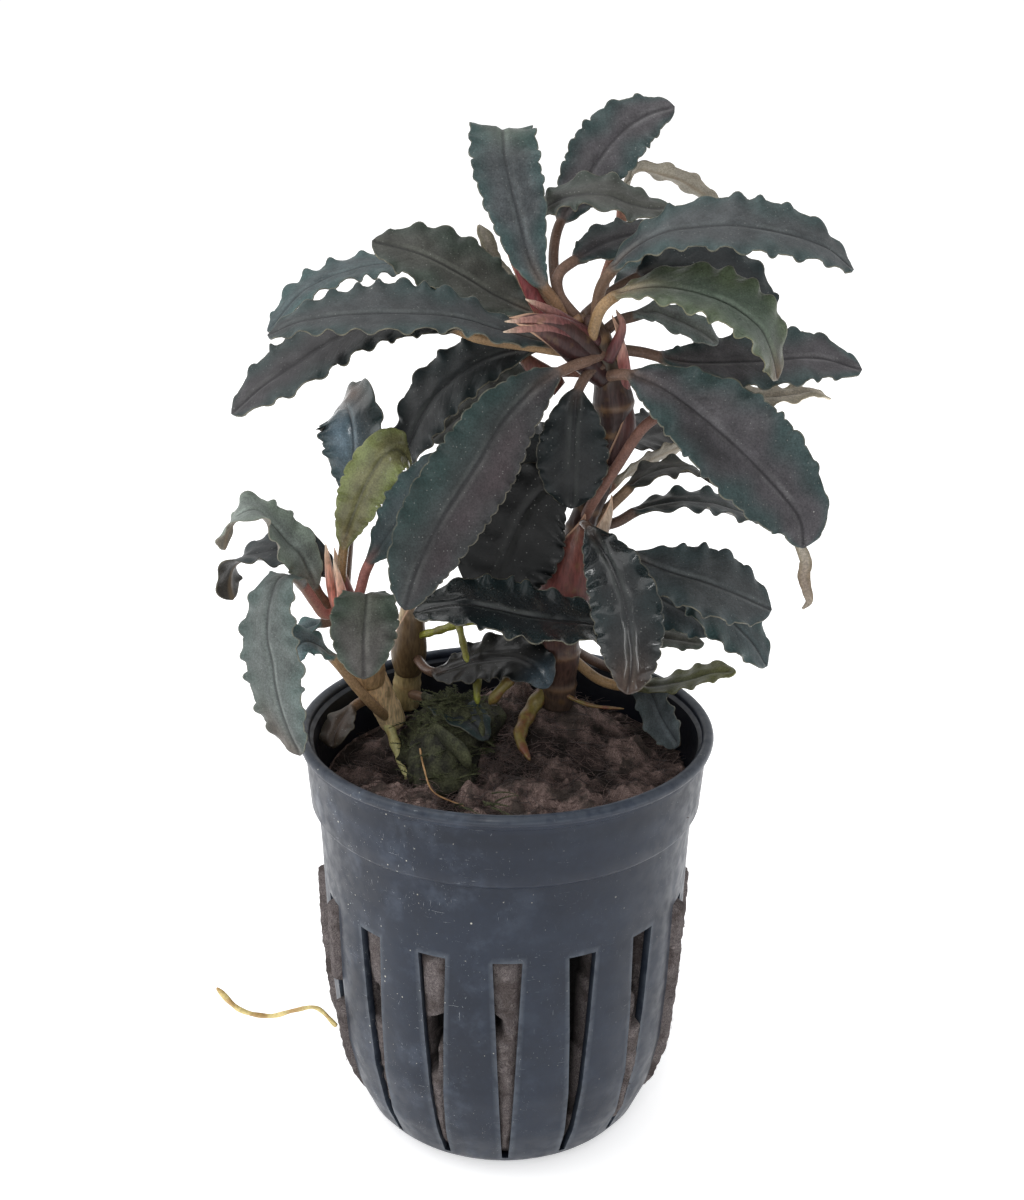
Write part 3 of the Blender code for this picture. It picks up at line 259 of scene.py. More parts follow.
         (-2.5, -0.5, -3)), 0.1, 13.2, 5, 0, 5, "dark"),
    Leaf("leaf_shaded_upper", ((11.5, 18.5, 1.5), (6, 19, 3), (2, 16.5, 4.5), (-2, 12.5, 5.5),
         (-5, 8.5, 6)),
         0.1, 11, 20, 0, 5, "dark"),
    Leaf("leaf_glossy_low", ((6.5, 0, 1.5), (11, -1.5, -1), (13, -3, -4.5), (11.8, -3.3, -6.8),
         (8.5, -2.8, -8), (4.75, -2.5, -8.9), (1.3, -2, -9.6), (-2.2, -1.2, -10), (-6.2, -0.6, -10.2),
         (-10.2, -1.1, -10.2), (-12.3, -1.8, -10)), 0.15, 10.5, 50, 0, 10, "dark"),
    Leaf("leaf_brown_low", ((-12.8, -6, 12.5), (-10, -9, 6), (-5, -7.8, 2), (0, -7.2, 0), (3, -8.5, -2),
         (4.5, -11, -3)), 0.2, 8, -45, 0, 5, "purple"),
    # From the left stem
    Leaf("leaf_olive_upright", ((-20.8, -0.5, 4), (-21.3, 2.5, 1.5), (-21.1, 5.8, 0.5), (-20.6, 8.5, 0),
         (-19.6, 11.3, -0.6), (-18.5, 14, -1.2), (-17.2, 16.4, -1.6), (-15.8, 18.2, -1.8),
         (-14.4, 18.8, -0.7), (-13.2, 17.9, 1), (-12.7, 16.2, 1.8)), 0.25, 6.3, 0, 0, 12, "olive"),
    Leaf("leaf_beside_front", ((-20.6, -1, 4), (-19.2, 0.6, 0.5), (-18.3, 3.6, -1), (-17, 6, -2),
         (-14.8, 9.2, -4), (-12.6, 12.6, -5), (-10.8, 15.8, -5.3), (-9.6, 18.4, -5)), 0.3, 6, -30, 0, 8,
         "bluish"),
    Leaf("leaf_bluish_folded", ((-21, -0.5, 4), (-20.5, 6, 6), (-20, 13, 7.5), (-19.8, 19.2, 8.5),
         (-20.3, 23.3, 10), (-21.3, 24, 13), (-22.5, 22.5, 15.5)), 0.35, 9.3, -30, 0, 8, "bluish"),
    Leaf("leaf_far_left", ((-21.9, -1.5, 4.5), (-24, 0.6, 2.4), (-25.1, 3, 0.2), (-26.5, 5.7, -1.4),
         (-28.1, 7.2, -2.4), (-29.4, 8.7, -3.2), (-30.6, 10, -3.8), (-31.5, 10.9, -4.2),
         (-32.6, 11.2, -4.7), (-33.7, 10.8, -5), (-34.9, 9.7, -5), (-35.8, 8.1, -4.8), (-36, 6.3, -4.5)),
         0.12, 7.3, 58, 140, 10, "green"),
    Leaf("leaf_far_left_dark", ((-21, -0.5, 6), (-23, 3.5, 7), (-25.5, 6, 6), (-29, 6.3, 4),
         (-33, 5.4, 3), (-34.9, 4.2, 2.6), (-35.4, 2.2, 2.2), (-35, 0, 2)), 0.1, 8.5, 60, 140, 5, "dark"),
    Leaf("leaf_hanging_left", ((-21, -1, 4), (-23.3, -1.8, 1), (-24.7, -0.2, -1.5), (-26.3, 2, -3.5),
         (-28, 3, -5.5), (-29.3, 2.4, -6.8), (-30, 0.6, -8), (-30.5, -2, -9), (-30.5, -5, -10),
         (-29.9, -8, -10.8), (-29.5, -11, -11.6), (-28.8, -13.8, -12.3), (-27.8, -16.6, -12.8),
         (-26.4, -19.4, -13)), 0.22, 9, 45, 0, 0, "bluish"),
    Leaf("leaf_facing_left", ((-20.3, -2.5, 4.5), (-19.5, -1, 0), (-18.6, 0.5, -4), (-18.2, 0.2, -7),
         (-18.6, -5, -11.5), (-18.5, -9.9, -14)), 0.25, 8.1, 0, 0, 5, "brown"),
    Leaf("leaf_teal_curved", ((-15.2, -15, 7.5), (-17, -13.5, 4), (-19.3, -11, 2.5), (-21.7, -8, 2),
         (-23.8, -6, 1.3), (-25.8, -5.2, 0.3), (-27, -6.2, -0.6), (-26.6, -7.8, -1)), 0.55, 5.8, 60, 0, 5,
         "bluish"),
    Leaf("leaf_teal_small", ((-20, -3, 5), (-22, -2.6, 4.8), (-25, -3.3, 4.6), (-27.4, -4.5, 4)),
         0.1, 4.5, 60, 0, 5, "bluish"),
    # Low leaves inside the pot
    Leaf("leaf_in_pot_left", ((-15.5, -14, 7.5), (-18, -12.5, 6), (-20.5, -14, 3.5), (-22, -16.5, 1),
         (-22.4, -18.5, -0.5)), 0.15, 5, 40, 0, 5, "brown"),
    Leaf("leaf_in_pot_front", ((-13.2, -11.5, 13.5), (-9, -13, 5), (-5.3, -15, 0), (-3, -17.5, -2)),
         0.2, 6, -50, 0, 10, "green"),
    Leaf("leaf_in_pot_right", ((6.4, -5.5, 3.5), (11, -8, 8), (15, -9.3, 10), (17.3, -11.5, 8.5),
         (18.6, -14.5, 5.5), (20, -16.8, 3), (20.9, -18.2, 1)), 0.35, 6.5, 45, 0, 10, "dark"),
    # Behind the plant
    Leaf("leaf_behind_left", ((9, 31, 2), (4, 33, 9), (-2, 37, 14), (-8, 38.5, 19), (-12, 38, 23)),
         0.15, 11, 60, 0, 8, "green"),
    Leaf("leaf_behind_right", ((9.5, 34.5, 1), (14, 39, 8), (20, 41.5, 14), (26, 42, 20), (31, 41, 24)),
         0.15, 11, -60, 0, 8, "green"),
    Leaf("leaf_behind_middle", ((12.5, 20, 1), (8, 20, 8), (3, 18, 13), (-2, 14, 18), (-6, 9, 21)),
         0.15, 11, 50, 0, 8, "dark"),
    Leaf("leaf_behind_low", ((6.2, -2, 2), (5, -2.5, 9), (3, -4, 15), (0, -7, 20)),
         0.15, 10, 60, 0, 5, "dark"),
)

# Colours of a leaf: the middle and the edge of its upper side, its underside and its stalk, as
# display values of 0 to 255, and its roughness
Look = namedtuple("Look", "middle edge under stalk roughness")
LOOKS = {
    "green": Look((62, 66, 68), (52, 68, 68), (92, 88, 80), (108, 86, 70), 0.46),
    "dark": Look((42, 46, 48), (36, 48, 50), (66, 64, 60), (88, 70, 60), 0.38),
    "purple": Look((66, 64, 67), (50, 65, 65), (90, 84, 80), (104, 82, 70), 0.46),
    "brown": Look((64, 65, 60), (56, 65, 58), (96, 88, 76), (114, 92, 72), 0.48),
    "bluish": Look((72, 85, 88), (66, 90, 90), (106, 106, 102), (112, 90, 76), 0.42),
    "olive": Look((100, 99, 68), (112, 120, 74), (116, 116, 80), (140, 114, 82), 0.34),
    "pale": Look((150, 144, 132), (128, 122, 106), (178, 170, 154), (146, 106, 90), 0.60),
}
NOISE_RANGE = (0.3, 0.7)
LEAF_SPECULAR, STEM_SPECULAR, ROOT_SPECULAR = 0.26, 0.3, 0.45
MOSS_SPECULAR, WOOL_SPECULAR, POT_SPECULAR = 0.25, 0.15, 0.28
WET_COAT, COAT_ROUGHNESS, WET_ROUGHNESS = 0.4, 0.1, 0.12
VEIN_PITCH, VEIN_SLANT = 1.75, 0.9
SPECK_SPACING, DOT_SPACING = 0.46, 3.1
WOOL_SWIRL = 5.0
PLASTIC = ((26, 33, 46), (32, 40, 54))
# The mat colours of the top are painted paler than the root mat's own colour: painted light, for light that
# the lamps don't bring into the pot
WOOL_SIDE, WOOL_MAT = ((86, 80, 81), (160, 150, 148)), ((104, 88, 86), (206, 178, 168))
MOSS_COLOURS = ((78, 80, 60), (48, 48, 42), (116, 124, 84))  # young, old and tips
# Marks on a surface: how strong, and of what colour
MARKS = {
    # The pale strip beside the midrib is a painted highlight
    "speck": (0.36, (150, 152, 148)), "dot": (0.5, (206, 206, 200)), "highlight_and_shade_band": (0.12, (112, 116, 108)),
    # The margin mark is partly the leaf's own pale rim and partly a painted highlight
    "midrib": (0.5, (22, 22, 24)), "ridge": (0.4, (140, 122, 98)), "margin": (0.48, (138, 132, 112)),
    "stem_patch": (1.0, (96, 72, 44)), "sheath_edge": (0.6, (206, 168, 140)),
    "stem_ring": (0.22, (176, 140, 104)), "thread": (1.0, (182, 172, 164)),
    # The dark mark of the wool's dips and voids is painted shade
    "wool_stain": (1.0, (66, 56, 52)), "mat_stain": (1.0, (76, 72, 66)), "hollow_shade": (1.0, (20, 18, 18)),
    "scuff": (0.15, (112, 124, 142)), "scratch": (0.8, (166, 172, 176)), "pot_speck": (0.85, (206, 204, 192)),
    # The dark mark of the inner wall is painted shade
    # The pale mark along slots and rim is partly worn plastic and partly a painted highlight
    "wear_and_highlight": (0.3, (120, 128, 136)), "pot_inside_shade": (0.85, (16, 19, 26)),
}
# Scratches: width of the noise in millimetres and how it is stretched. Specks: spacing in
# millimetres, radius in cells, and the least random value of a cell that shows one
SCRATCHES = ((0.5, (5.0, 5.0, 0.35)), (0.55, (0.4, 0.4, 5.0)), (0.7, (3.5, 0.6, 1.5)))
POT_SPECKS = ((0.7, 0.1, 0.7), (1.1, 0.1, 0.66), (2.7, 0.06, 0.5))
# Leaves that differ from their look: how bright they are, which is partly their own tone and partly
# painted light and shade (the darkest are darkened for the shade they lie in, and the brightest are
# lightened for light that falls short of them), how wet they are, patches on them, each with its
# colour, share of the blade, place across it from -1 to 1, length and width in mm, and strength, and
# their own colours of the middle, the edge and the stalk, and how clear their midrib and margin are
Touch = namedtuple("Touch", "bright wet patches middle edge stalk ribs",
                   defaults=(1.0, 0.0, (), None, None, None, 1.0))
LEAF_BRIGHT = 0.86
EDGE_BAND = (0.3, 0.95)  # where the middle's colour turns into the edge's, from 0 to 1 across
RIB_TINT, RIB_TINT_WIDTH, RIB_TINT_END = 0.35, 0.6, 0.22  # the stalk's colour runs into the midrib
FOOT_END = 0.05
BROWN, TAN, BLACK, BLUE, GREEN = (84, 58, 42), (150, 118, 88), (20, 22, 24), (112, 134, 148), (70, 92, 62)
PURPLE, TEAL = (70, 54, 58), (46, 72, 68)
PINK_STALK, TAN_STALK = (158, 106, 98), (152, 124, 92)
TOUCHES = {
    "leaf_upright": Touch(1.4, 0.1, ((BLACK, 0.8, -0.55, 3.0, 1.6, 0.6), (GREEN, 0.7, 0.2, 3, 3, 0.3)),
                          stalk=(120, 92, 68)),
    "leaf_brown_left": Touch(1.1),
    "leaf_long_left": Touch(0.85),
    "leaf_back_left": Touch(0.8),
    "leaf_drooping_left": Touch(0.77, 0.1, ((BLACK, 0.35, 0.0, 8, 5, 0.4),), stalk=TAN_STALK),
    "leaf_small_pale": Touch(1.08, stalk=PINK_STALK),
    "leaf_dark_left": Touch(0.66),
    "leaf_hidden_left": Touch(0.95, stalk=(120, 84, 70)),
    "leaf_front_left": Touch(0.52, 0.0, ((PURPLE, 0.45, -0.6, 16, 2.6, 0.4), (TEAL, 0.5, 0.6, 16, 2.6, 0.4)),
                             ribs=0.8),
    # Painted shade: darkened for the shade under the crown
    "leaf_under_crown": Touch(0.4, ribs=0.7),
    "leaf_top": Touch(1.25, 0.05),
    "leaf_top_middle": Touch(1.0, 0.25, ((BLACK, 0.3, 0.1, 2.2, 1.6, 0.7),)),
    "leaf_small_dark": Touch(0.85),
    "leaf_pale_back": Touch(0.9),
    "leaf_long_right": Touch(1.08, 0.05),
    "leaf_olive_right": Touch(0.95, 0.1, ((TAN, 0.0, 0.0, 5, 2, 0.4), (BROWN, 1.0, 0.0, 3, 3, 0.7)),
                              (80, 92, 80), (88, 100, 78)),
    "leaf_back_right": Touch(0.88),
    "leaf_narrow_right": Touch(1.5, 0.0, (), (88, 92, 90), (84, 94, 92)),
    "leaf_far_right": Touch(1.25),
    # Painted light: lightened well past its own tone
    "leaf_curled_right": Touch(2.1),
    "leaf_front_right": Touch(1.2, 0.05, ((BLACK, 0.45, 0.45, 3.4, 1.3, 0.6),)),
    "leaf_withered": Touch(1.45, 0.0, ((BROWN, 0.7, 0.0, 4, 2, 0.6),)),
    "leaf_hanging_front": Touch(0.72, 1.0, ((BROWN, 1.0, 0.0, 4, 4, 0.4),), ribs=0.9),
    "leaf_right_low": Touch(1.3, 0.1, (), (60, 64, 66), (58, 68, 70)),
    # Painted light: lightened well past its own tone
    "leaf_right_lower": Touch(2.5),
    "leaf_right_lowest": Touch(0.72, 0.2),
    "leaf_brown_small": Touch(1.9),
    "leaf_olive_low": Touch(0.64, 0.0, (((128, 130, 84), 1.0, 0.0, 7, 5, 0.7),), (72, 76, 70), (92, 96, 66)),
    "leaf_edge_on": Touch(0.45),
    # Painted light: lightened well past its own tone
    "leaf_low_arching": Touch(2.2),
    # Painted shade: darkened for the shade behind other leaves
    "leaf_dark_behind": Touch(0.12, ribs=0.5),
    "leaf_long_stalk": Touch(0.72, stalk=(104, 74, 64)),
    # Painted shade: darkened for the shade between the leaves and the stem
    "leaf_shaded": Touch(0.1, 0.05, ribs=0.25),
    "leaf_shaded_upper": Touch(0.85),
    "leaf_glossy_low": Touch(0.75, 1.0),
    # Painted shade: darkened for the shade low under the other leaves
    "leaf_brown_low": Touch(0.07, 0.4, ((BLUE, 0.95, 0.0, 2, 3, 0.3),), ribs=0.5),
    "leaf_olive_upright": Touch(1.3, 0.5, ((BROWN, 0.0, 0.0, 4, 2.5, 0.3),)),
    "leaf_beside_front": Touch(0.58, stalk=PINK_STALK),
    "leaf_bluish_folded": Touch(0.44, 0.7, ((BLUE, 0.45, -0.3, 4, 2, 0.7), (BROWN, 0.75, 0.5, 2, 1.5, 0.8))),
    # Painted light: lightened well past its own tone, where it falls in shade
    "leaf_far_left": Touch(2.3, 0.0, (), (78, 84, 80), (84, 92, 84)),
    "leaf_hanging_left": Touch(1.3, 0.1, ((BROWN, 0.9, 0.7, 5, 1.5, 0.5),), (80, 86, 84), (76, 88, 85),
                               PINK_STALK),
    "leaf_facing_left": Touch(1.4, 0.0, ((GREEN, 0.4, 0.0, 4, 3, 0.2),), (70, 68, 66), stalk=PINK_STALK),
    # Painted light: lightened well past its own tone
    "leaf_teal_curved": Touch(2.1, stalk=TAN_STALK),
    "leaf_teal_small": Touch(1.8),
    "leaf_in_pot_left": Touch(0.62, 0.2, ((BROWN, 0.5, 0.0, 5, 3, 0.4),)),
    "leaf_in_pot_front": Touch(0.85),
    # Painted light: lightened past its own tone, where it falls in shade in the pot
    "leaf_in_pot_right": Touch(1.3, 0.0, (), (84, 92, 96), (92, 102, 104)),
    # Painted shade: darkened for the shade behind other leaves
    "leaf_behind_left": Touch(0.14, ribs=0.5),
    # Painted light: lightened well past its own tone
    "leaf_behind_right": Touch(2.4),
    # Painted shade: darkened for the shade behind other leaves
    "leaf_behind_middle": Touch(0.16, ribs=0.5),
}

# Colours along each stem and its spear-shaped young leaves, from the foot to the tip
STEM_PAINTS = {
    "main_stem": ((0.0, (66, 54, 46)), (0.22, (66, 42, 38)), (0.4, (66, 36, 34)), (0.55, (52, 40, 36)),
                  (0.68, (46, 34, 32)), (0.82, (54, 38, 36)), (0.9, (60, 52, 40)), (1.0, (70, 48, 42))),
    # The left stem is painted far paler than its own colour, and the back stem somewhat paler: painted light,
    # for front light that the lamps lack
    "left_stem": ((0.0, (246, 222, 176)), (0.4, (244, 208, 162)), (0.75, (200, 166, 128)),
                  (1.0, (196, 140, 122))),
    "back_stem": ((0.0, (172, 158, 118)), (0.6, (158, 144, 106)), (1.0, (172, 144, 114))),
}
# The young leaves are painted somewhat paler than their own colour too: painted light
SPEAR_PAINTS = {
    "main_stem": ((0.0, (70, 42, 44)), (0.45, (100, 60, 60)), (0.85, (152, 112, 102)),
                  (1.0, (196, 176, 156))),
    "left_stem": ((0.0, (176, 112, 100)), (0.45, (222, 146, 130)), (0.85, (242, 202, 176)),
                  (1.0, (248, 228, 204))),
    "back_stem": ((0.0, (120, 84, 72)), (0.45, (150, 104, 90)), (0.85, (180, 144, 120)),
                  (1.0, (206, 184, 160))),
}
MAROON, PINK, CREAM = (72, 42, 44), (136, 90, 86), (196, 176, 154)
# Sheaths: stem, spots from the foot to the tip, radius, half angle, where the back faces, colours
SHEATHS = (
    ("main_stem", ((11.5, 27.5, -0.6), (8.5, 30.5, -2), (4.5, 33.2, -4.6), (0.5, 34.6, -7)), 1.25, 100,
     (0.1, -1.0, 0.2),
     ((0.0, (44, 27, 27)), (0.6, (54, 32, 31)), (0.85, (78, 54, 50)), (1.0, (160, 130, 116)))),
    ("main_stem", ((10.5, 30.5, -1.5), (7, 33.6, -3), (3, 34.9, -5.2), (-0.4, 35.2, -7)), 1.0, 95,
     (0.1, -0.6, 0.9),
     ((0.0, (48, 34, 30)), (0.5, (60, 38, 36)), (0.85, (84, 56, 54)), (1.0, (150, 120, 108)))),
    ("main_stem", ((13.2, 24, 0.2), (13.6, 28, 0), (13.2, 32, -0.5), (12.4, 35.6, -1)), 1.0, 95,
     (0.8, -0.7, 0.1), ((0.0, MAROON), (0.5, (150, 92, 88)), (1.0, (214, 186, 166)))),
    ("main_stem", ((12.4, 17, 0.4), (13.6, 20.5, 0.4), (14, 24, 0.4), (13.8, 26.5, 0.4)), 1.5, 90,
     (0.9, -0.6, 0.0), ((0.0, (58, 42, 40)), (0.7, (82, 54, 52)), (1.0, (140, 112, 96)))),
    ("main_stem", ((5.6, -3.5, -0.8), (6.5, 1, -0.8), (7.8, 6.5, -1), (9.2, 11, -1.2)), 2.9, 105,
     (0.0, -1.0, 0.2), ((0.0, (66, 43, 38)), (0.5, (92, 46, 42)), (1.0, (112, 72, 62)))),
    ("main_stem", ((8.4, 3, 0), (10.2, 7, 0), (11.6, 10.5, 0.5), (12.4, 13.2, 1)), 1.2, 95,
     (0.6, -0.9, 0.1), ((0.0, (92, 60, 54)), (1.0, CREAM))),
    ("main_stem", ((6, 26.4, 4), (3.9, 28.2, 4.4), (1.8, 30.2, 4.8), (0.4, 32.4, 5)), 1.1, 100,
     (-0.4, -0.9, 0.1), ((0.0, (96, 60, 52)), (0.6, (112, 72, 64)), (1.0, (150, 124, 96)))),
    ("main_stem", ((6, 33.5, 2), (3, 37.5, 3.2), (0.6, 41.6, 3.8), (-1.4, 45.4, 4.2)), 0.9, 90,
     (0.3, -1.0, 0.2), ((0.0, (116, 58, 58)), (0.6, (142, 74, 76)), (1.0, PINK))),
    ("left_stem", ((-20, -3, 3.6), (-20.8, 0.5, 2.6), (-21.6, 4, 1.8), (-22.2, 6.6, 1.5)), 1.1, 95,
     (0.0, -1.0, 0.2), ((0.0, (116, 80, 70)), (0.6, PINK), (1.0, CREAM))),
    ("left_stem", ((-17.5, -10.5, 5.4), (-18.4, -7, 4.8), (-19.2, -3.8, 4.2), (-19.6, -1.5, 3.8)), 1.9, 95,
     (0.3, -1.0, 0.1), ((0.0, (176, 146, 106)), (0.7, (190, 150, 120)), (1.0, CREAM))),
    ("back_stem", ((-13, -9, 12), (-12.8, -5, 11.4), (-12.4, -1.5, 10.8), (-12, 1, 10.4)), 2.0, 100,
     (0.2, -1.0, 0.1), ((0.0, (96, 82, 58)), (0.7, (110, 90, 66)), (1.0, CREAM))),
)
STEM_STEP, STEM_WAVE = 0.35, 0.05
STEM_RING, RING_START = 4.2, 3.0  # between the rings that old leaves left, and below the first
RING_SHIFT, RING_WIDTH, RING_HEIGHT = 0.8, 0.35, 0.14
STEM_TIP = (0.95, 0.8, 0.55, 0.25)  # the last rings close in
SPEAR_RADII = ((0, 0.5, 0.85, 1), (1.1, 0.8, 0.42, 0.08))  # at shares of a young leaf
SHEATH_COLUMNS, SHEATH_THICKNESS = 13, 0.28
SMALL_STEP = 0.3  # between the rings of sheaths, spears and roots
LOBE_STEP = 0.4  # between the rings of a lobe on the moss
RIB_ROUND = 0.16
WOOL_ROWS, WOOL_COLUMNS, WOOL_TOP_RINGS = 96, 280, 40
SIDE_FIBRES, TOP_FIBRES = 900, 2600

# Moss on the wool: cushion, shoots that stand out of it, and lobes of liverwort
MOSS_CENTRE = (-7.5, 2.5)
MOSS_SIZE = (6.0, 9.0)
MOSS_HEIGHT = 8.0
MOSS_COLUMNS = 60
MOSS_FRONDS, FROND_LEAVES = 230, 7
MOSS_TIPS = (((-1.0, -16.0, 49.0), (1.0, -0.5, 0.2), 3.4), ((-2.0, -13.0, 49.5), (1.0, -0.3, 0.3), 3.0),
             ((-6.0, -15.0, 49.0), (0.5, -0.7, 0.3), 3.0))
LIVERWORT = (
    (((-9.5, -16, -2), (-8, -17.5, -4), (-6.3, -19, -6), (-5.3, -21, -7)), (0.9, 1.3, 1.4, 1.1)),
    (((-11, -12, 6), (-9, -14, 3), (-8.6, -16.5, 0), (-9.4, -18.6, -2)), (0.8, 1.2, 1.2, 0.9)),
    (((-5, -13, 4), (-4, -15, 1), (-3.8, -17.5, -2)), (0.7, 1.1, 0.9)),
)

# Roots as spots with their radii: the one that hangs out of a slot, and those of the stems
HANGING_ROOT = (((-22, -53.2, -9.5), (-24.4, -51, -10), (-27.2, -51.3, -10.5), (-30.3, -52, -11),
                 (-34, -51.2, -12), (-36.9, -48.5, -12)), (0.3, 0.26, 0.3, 0.32, 0.4))
HANGING_ROOT_COLOURS = ((226, 206, 140), (186, 152, 98))
ROOTS = (
    ("left_stem", "left_stem_roots", (
        (((-15.5, -15.2, 7), (-14.6, -18, 5), (-13.6, -21, 2.5), (-12.6, -23, 0)), (0.75, 0.7, 0.5, 0.4)),
    ), (206, 200, 140), (178, 156, 100)),
    ("left_stem", "left_stem_fibre", (
        (((-11.5, -18.6, -3), (-11, -21, -6), (-9.8, -24, -9), (-6, -25.8, -11)), (0.13, 0.11, 0.1, 0.08)),
    ), (190, 150, 104), (150, 112, 74)),
    ("back_stem", "back_stem_roots", (
        (((-12.2, -4.6, 11), (-9, -3.75, 7), (-5.9, -2.75, 4), (-3.4, -2.9, 3)), (0.5, 0.5, 0.55, 0.4)),
        (((-6.7, -2.9, 4.4), (-6.2, -5, 2), (-5.6, -7.75, -0.5)), (0.45, 0.45, 0.4)),
        (((-4.3, -9.8, 3), (-4.4, -11.5, 2), (-4.3, -13, 1.5)), (0.55, 0.5, 0.4)),
    ), (146, 150, 62), (112, 108, 48)),
    ("main_stem", "main_stem_roots", (
        (((1.4, -7.6, 2), (0, -9.6, 1), (-1.6, -11.4, 0), (-2.8, -13, 0)), (0.6, 0.7, 0.7, 0.6)),
        (((4.5, -10, 2), (7, -12, 1), (10, -13.2, 0), (14, -13.6, -1)), (0.3, 0.26, 0.24, 0.16)),
        (((5, -10, 3), (2.5, -13.5, 1), (1, -17, -3), (2.2, -20, -7)), (0.8, 1.0, 0.8, 0.3)),
    ), (120, 108, 56), (110, 66, 48)),
)


def srgb(red, green, blue):
    """The linear colour of display values of 0 to 255."""
    shares = np.array((red, green, blue)) / 255
    return tuple(np.where(shares > 0.04045, ((shares + 0.055) / 1.055) ** 2.4, shares / 12.92)) + (1.0,)


def smooth(value, low, high):
    """0 below low, 1 above high, and a soft step between them."""
    share = np.clip((value - low) / (high - low), 0, 1)
    return share * share * (3 - 2 * share)


def ruggedness(points, size, seed):
    """Soft noise of about -1 to 1 at each point, with lumps of about the size in millimetres."""
    shift = Vector((seed * 17.3, seed * 5.1, seed * 9.7))
    return np.array([noise.noise(Vector(p) / size + shift) for p in points]) * 1.6


class Tree:
    """The nodes of a new material, in millimetres."""

    def __init__(self, name, roughness, specular):
        self.material = bpy.data.materials.new(name)
        self.material.use_nodes = True
        self.nodes = self.material.node_tree.nodes
        self.links = self.material.node_tree.links
        self.shader = self.nodes["Principled BSDF"].inputs
        self.shader["Roughness"].default_value = roughness
        self.shader["Specular IOR Level"].default_value = specular
        self.shader["Coat Roughness"].default_value = COAT_ROUGHNESS
        place = self.add("ShaderNodeTexCoord").outputs["Object"]
        self.place = self.stretched(place, (1 / MM, 1 / MM, 1 / MM))

    def add(self, kind, inputs=(), **settings):
        """A new node. An input is a number, a colour or another node's output."""
        node = self.nodes.new(kind)
        for key, value in settings.items():
            setattr(node, key, value)
        for key, value in dict(inputs).items():
            self.put(node.inputs[key], value)
        return node

    def put(self, socket, value):
        if isinstance(value, bpy.types.NodeSocket):
            self.links.new(value, socket)
        else:
            socket.default_value = value

    def stretched(self, vector, scale):
        return self.add("ShaderNodeVectorMath", {0: vector, 1: scale}, operation="MULTIPLY").outputs[0]

    def math(self, operation, first, second=0.0):
        return self.add("ShaderNodeMath", {0: first, 1: second}, operation=operation).outputs[0]

    def times(self, first, *others):
        for other in others:
            first = self.math("MULTIPLY", first, other)
        return first

    def plus(self, first, *others):
        for other in others:
            first = self.math("ADD", first, other)
        return first

    def noise(self, size, detail=3.0, roughness=0.55, distortion=0.0, place=None):
        """Noise of 0 to 1 with features of about the size in millimetres."""
        inputs = {"Vector": place or self.place, "Scale": 1 / size, "Detail": detail,
                  "Roughness": roughness, "Distortion": distortion}
        return self.add("ShaderNodeTexNoise", inputs).outputs["Fac"]

    def cells(self, size):
        """Distance to the middle of scattered cells, in cells, and a random value of each."""
        node = self.add("ShaderNodeTexVoronoi", {"Vector": self.place, "Scale": 1 / size})
        value = self.add("ShaderNodeSeparateColor", {0: node.outputs["Color"]}).outputs[0]
        return node.outputs["Distance"], value

    def between(self, value, low, high, at_low=0.0, at_high=1.0):
        """A soft step from at_low to at_high as value goes from low to high."""
        inputs = {0: value, 1: low, 2: high, 3: at_low, 4: at_high}
        return self.add("ShaderNodeMapRange", inputs, interpolation_type="SMOOTHSTEP").outputs[0]

    def swing(self, value, at_low, at_high):
        """A step from at_low to at_high over the range that a noise mostly takes."""
        return self.between(value, *NOISE_RANGE, at_low, at_high)

    def mix(self, share, first, second):
        node = self.add("ShaderNodeMix", data_type="RGBA", blend_type="MIX")
        for socket, value in zip((node.inputs[0], node.inputs[6], node.inputs[7]), (share, first, second)):
            self.put(socket, value)
        return node.outputs[2]

    def marked(self, colour, mark, *shares):
        """The colour under a mark, which is as strong as its row in MARKS says times the shares."""
        strength, own = MARKS[mark]
        return self.mix(self.times(strength, *shares), colour, srgb(*own))

    def brightened(self, colour, factor):
        """The colour times a factor."""
        node = self.add("ShaderNodeVectorMath", {0: colour, "Scale": factor}, operation="SCALE")
        return node.outputs[0]

    def varied(self, colour, value, at_low, at_high):
        """The colour times a factor that swings from at_low to at_high with a noise."""
        return self.brightened(colour, self.swing(value, at_low, at_high))

    def attribute(self, name):
        return self.add("ShaderNodeAttribute", attribute_name=name).outputs["Fac"]

    def paint(self):
        return self.add("ShaderNodeAttribute", attribute_name="paint").outputs["Color"]

    def finish(self, colour, roughness=None, height=None, depth=0.1, strength=0.6):
        """Joins colour, roughness and a height in shares of depth, in millimetres, to the shader."""
        self.put(self.shader["Base Color"], colour)
        if roughness is not None:
            self.put(self.shader["Roughness"], roughness)
        if height is not None:
            bump = self.add("ShaderNodeBump",
                            {"Strength": strength, "Distance": depth * MM, "Height": height})
            self.links.new(bump.outputs[0], self.shader["Normal"])
        return self.material


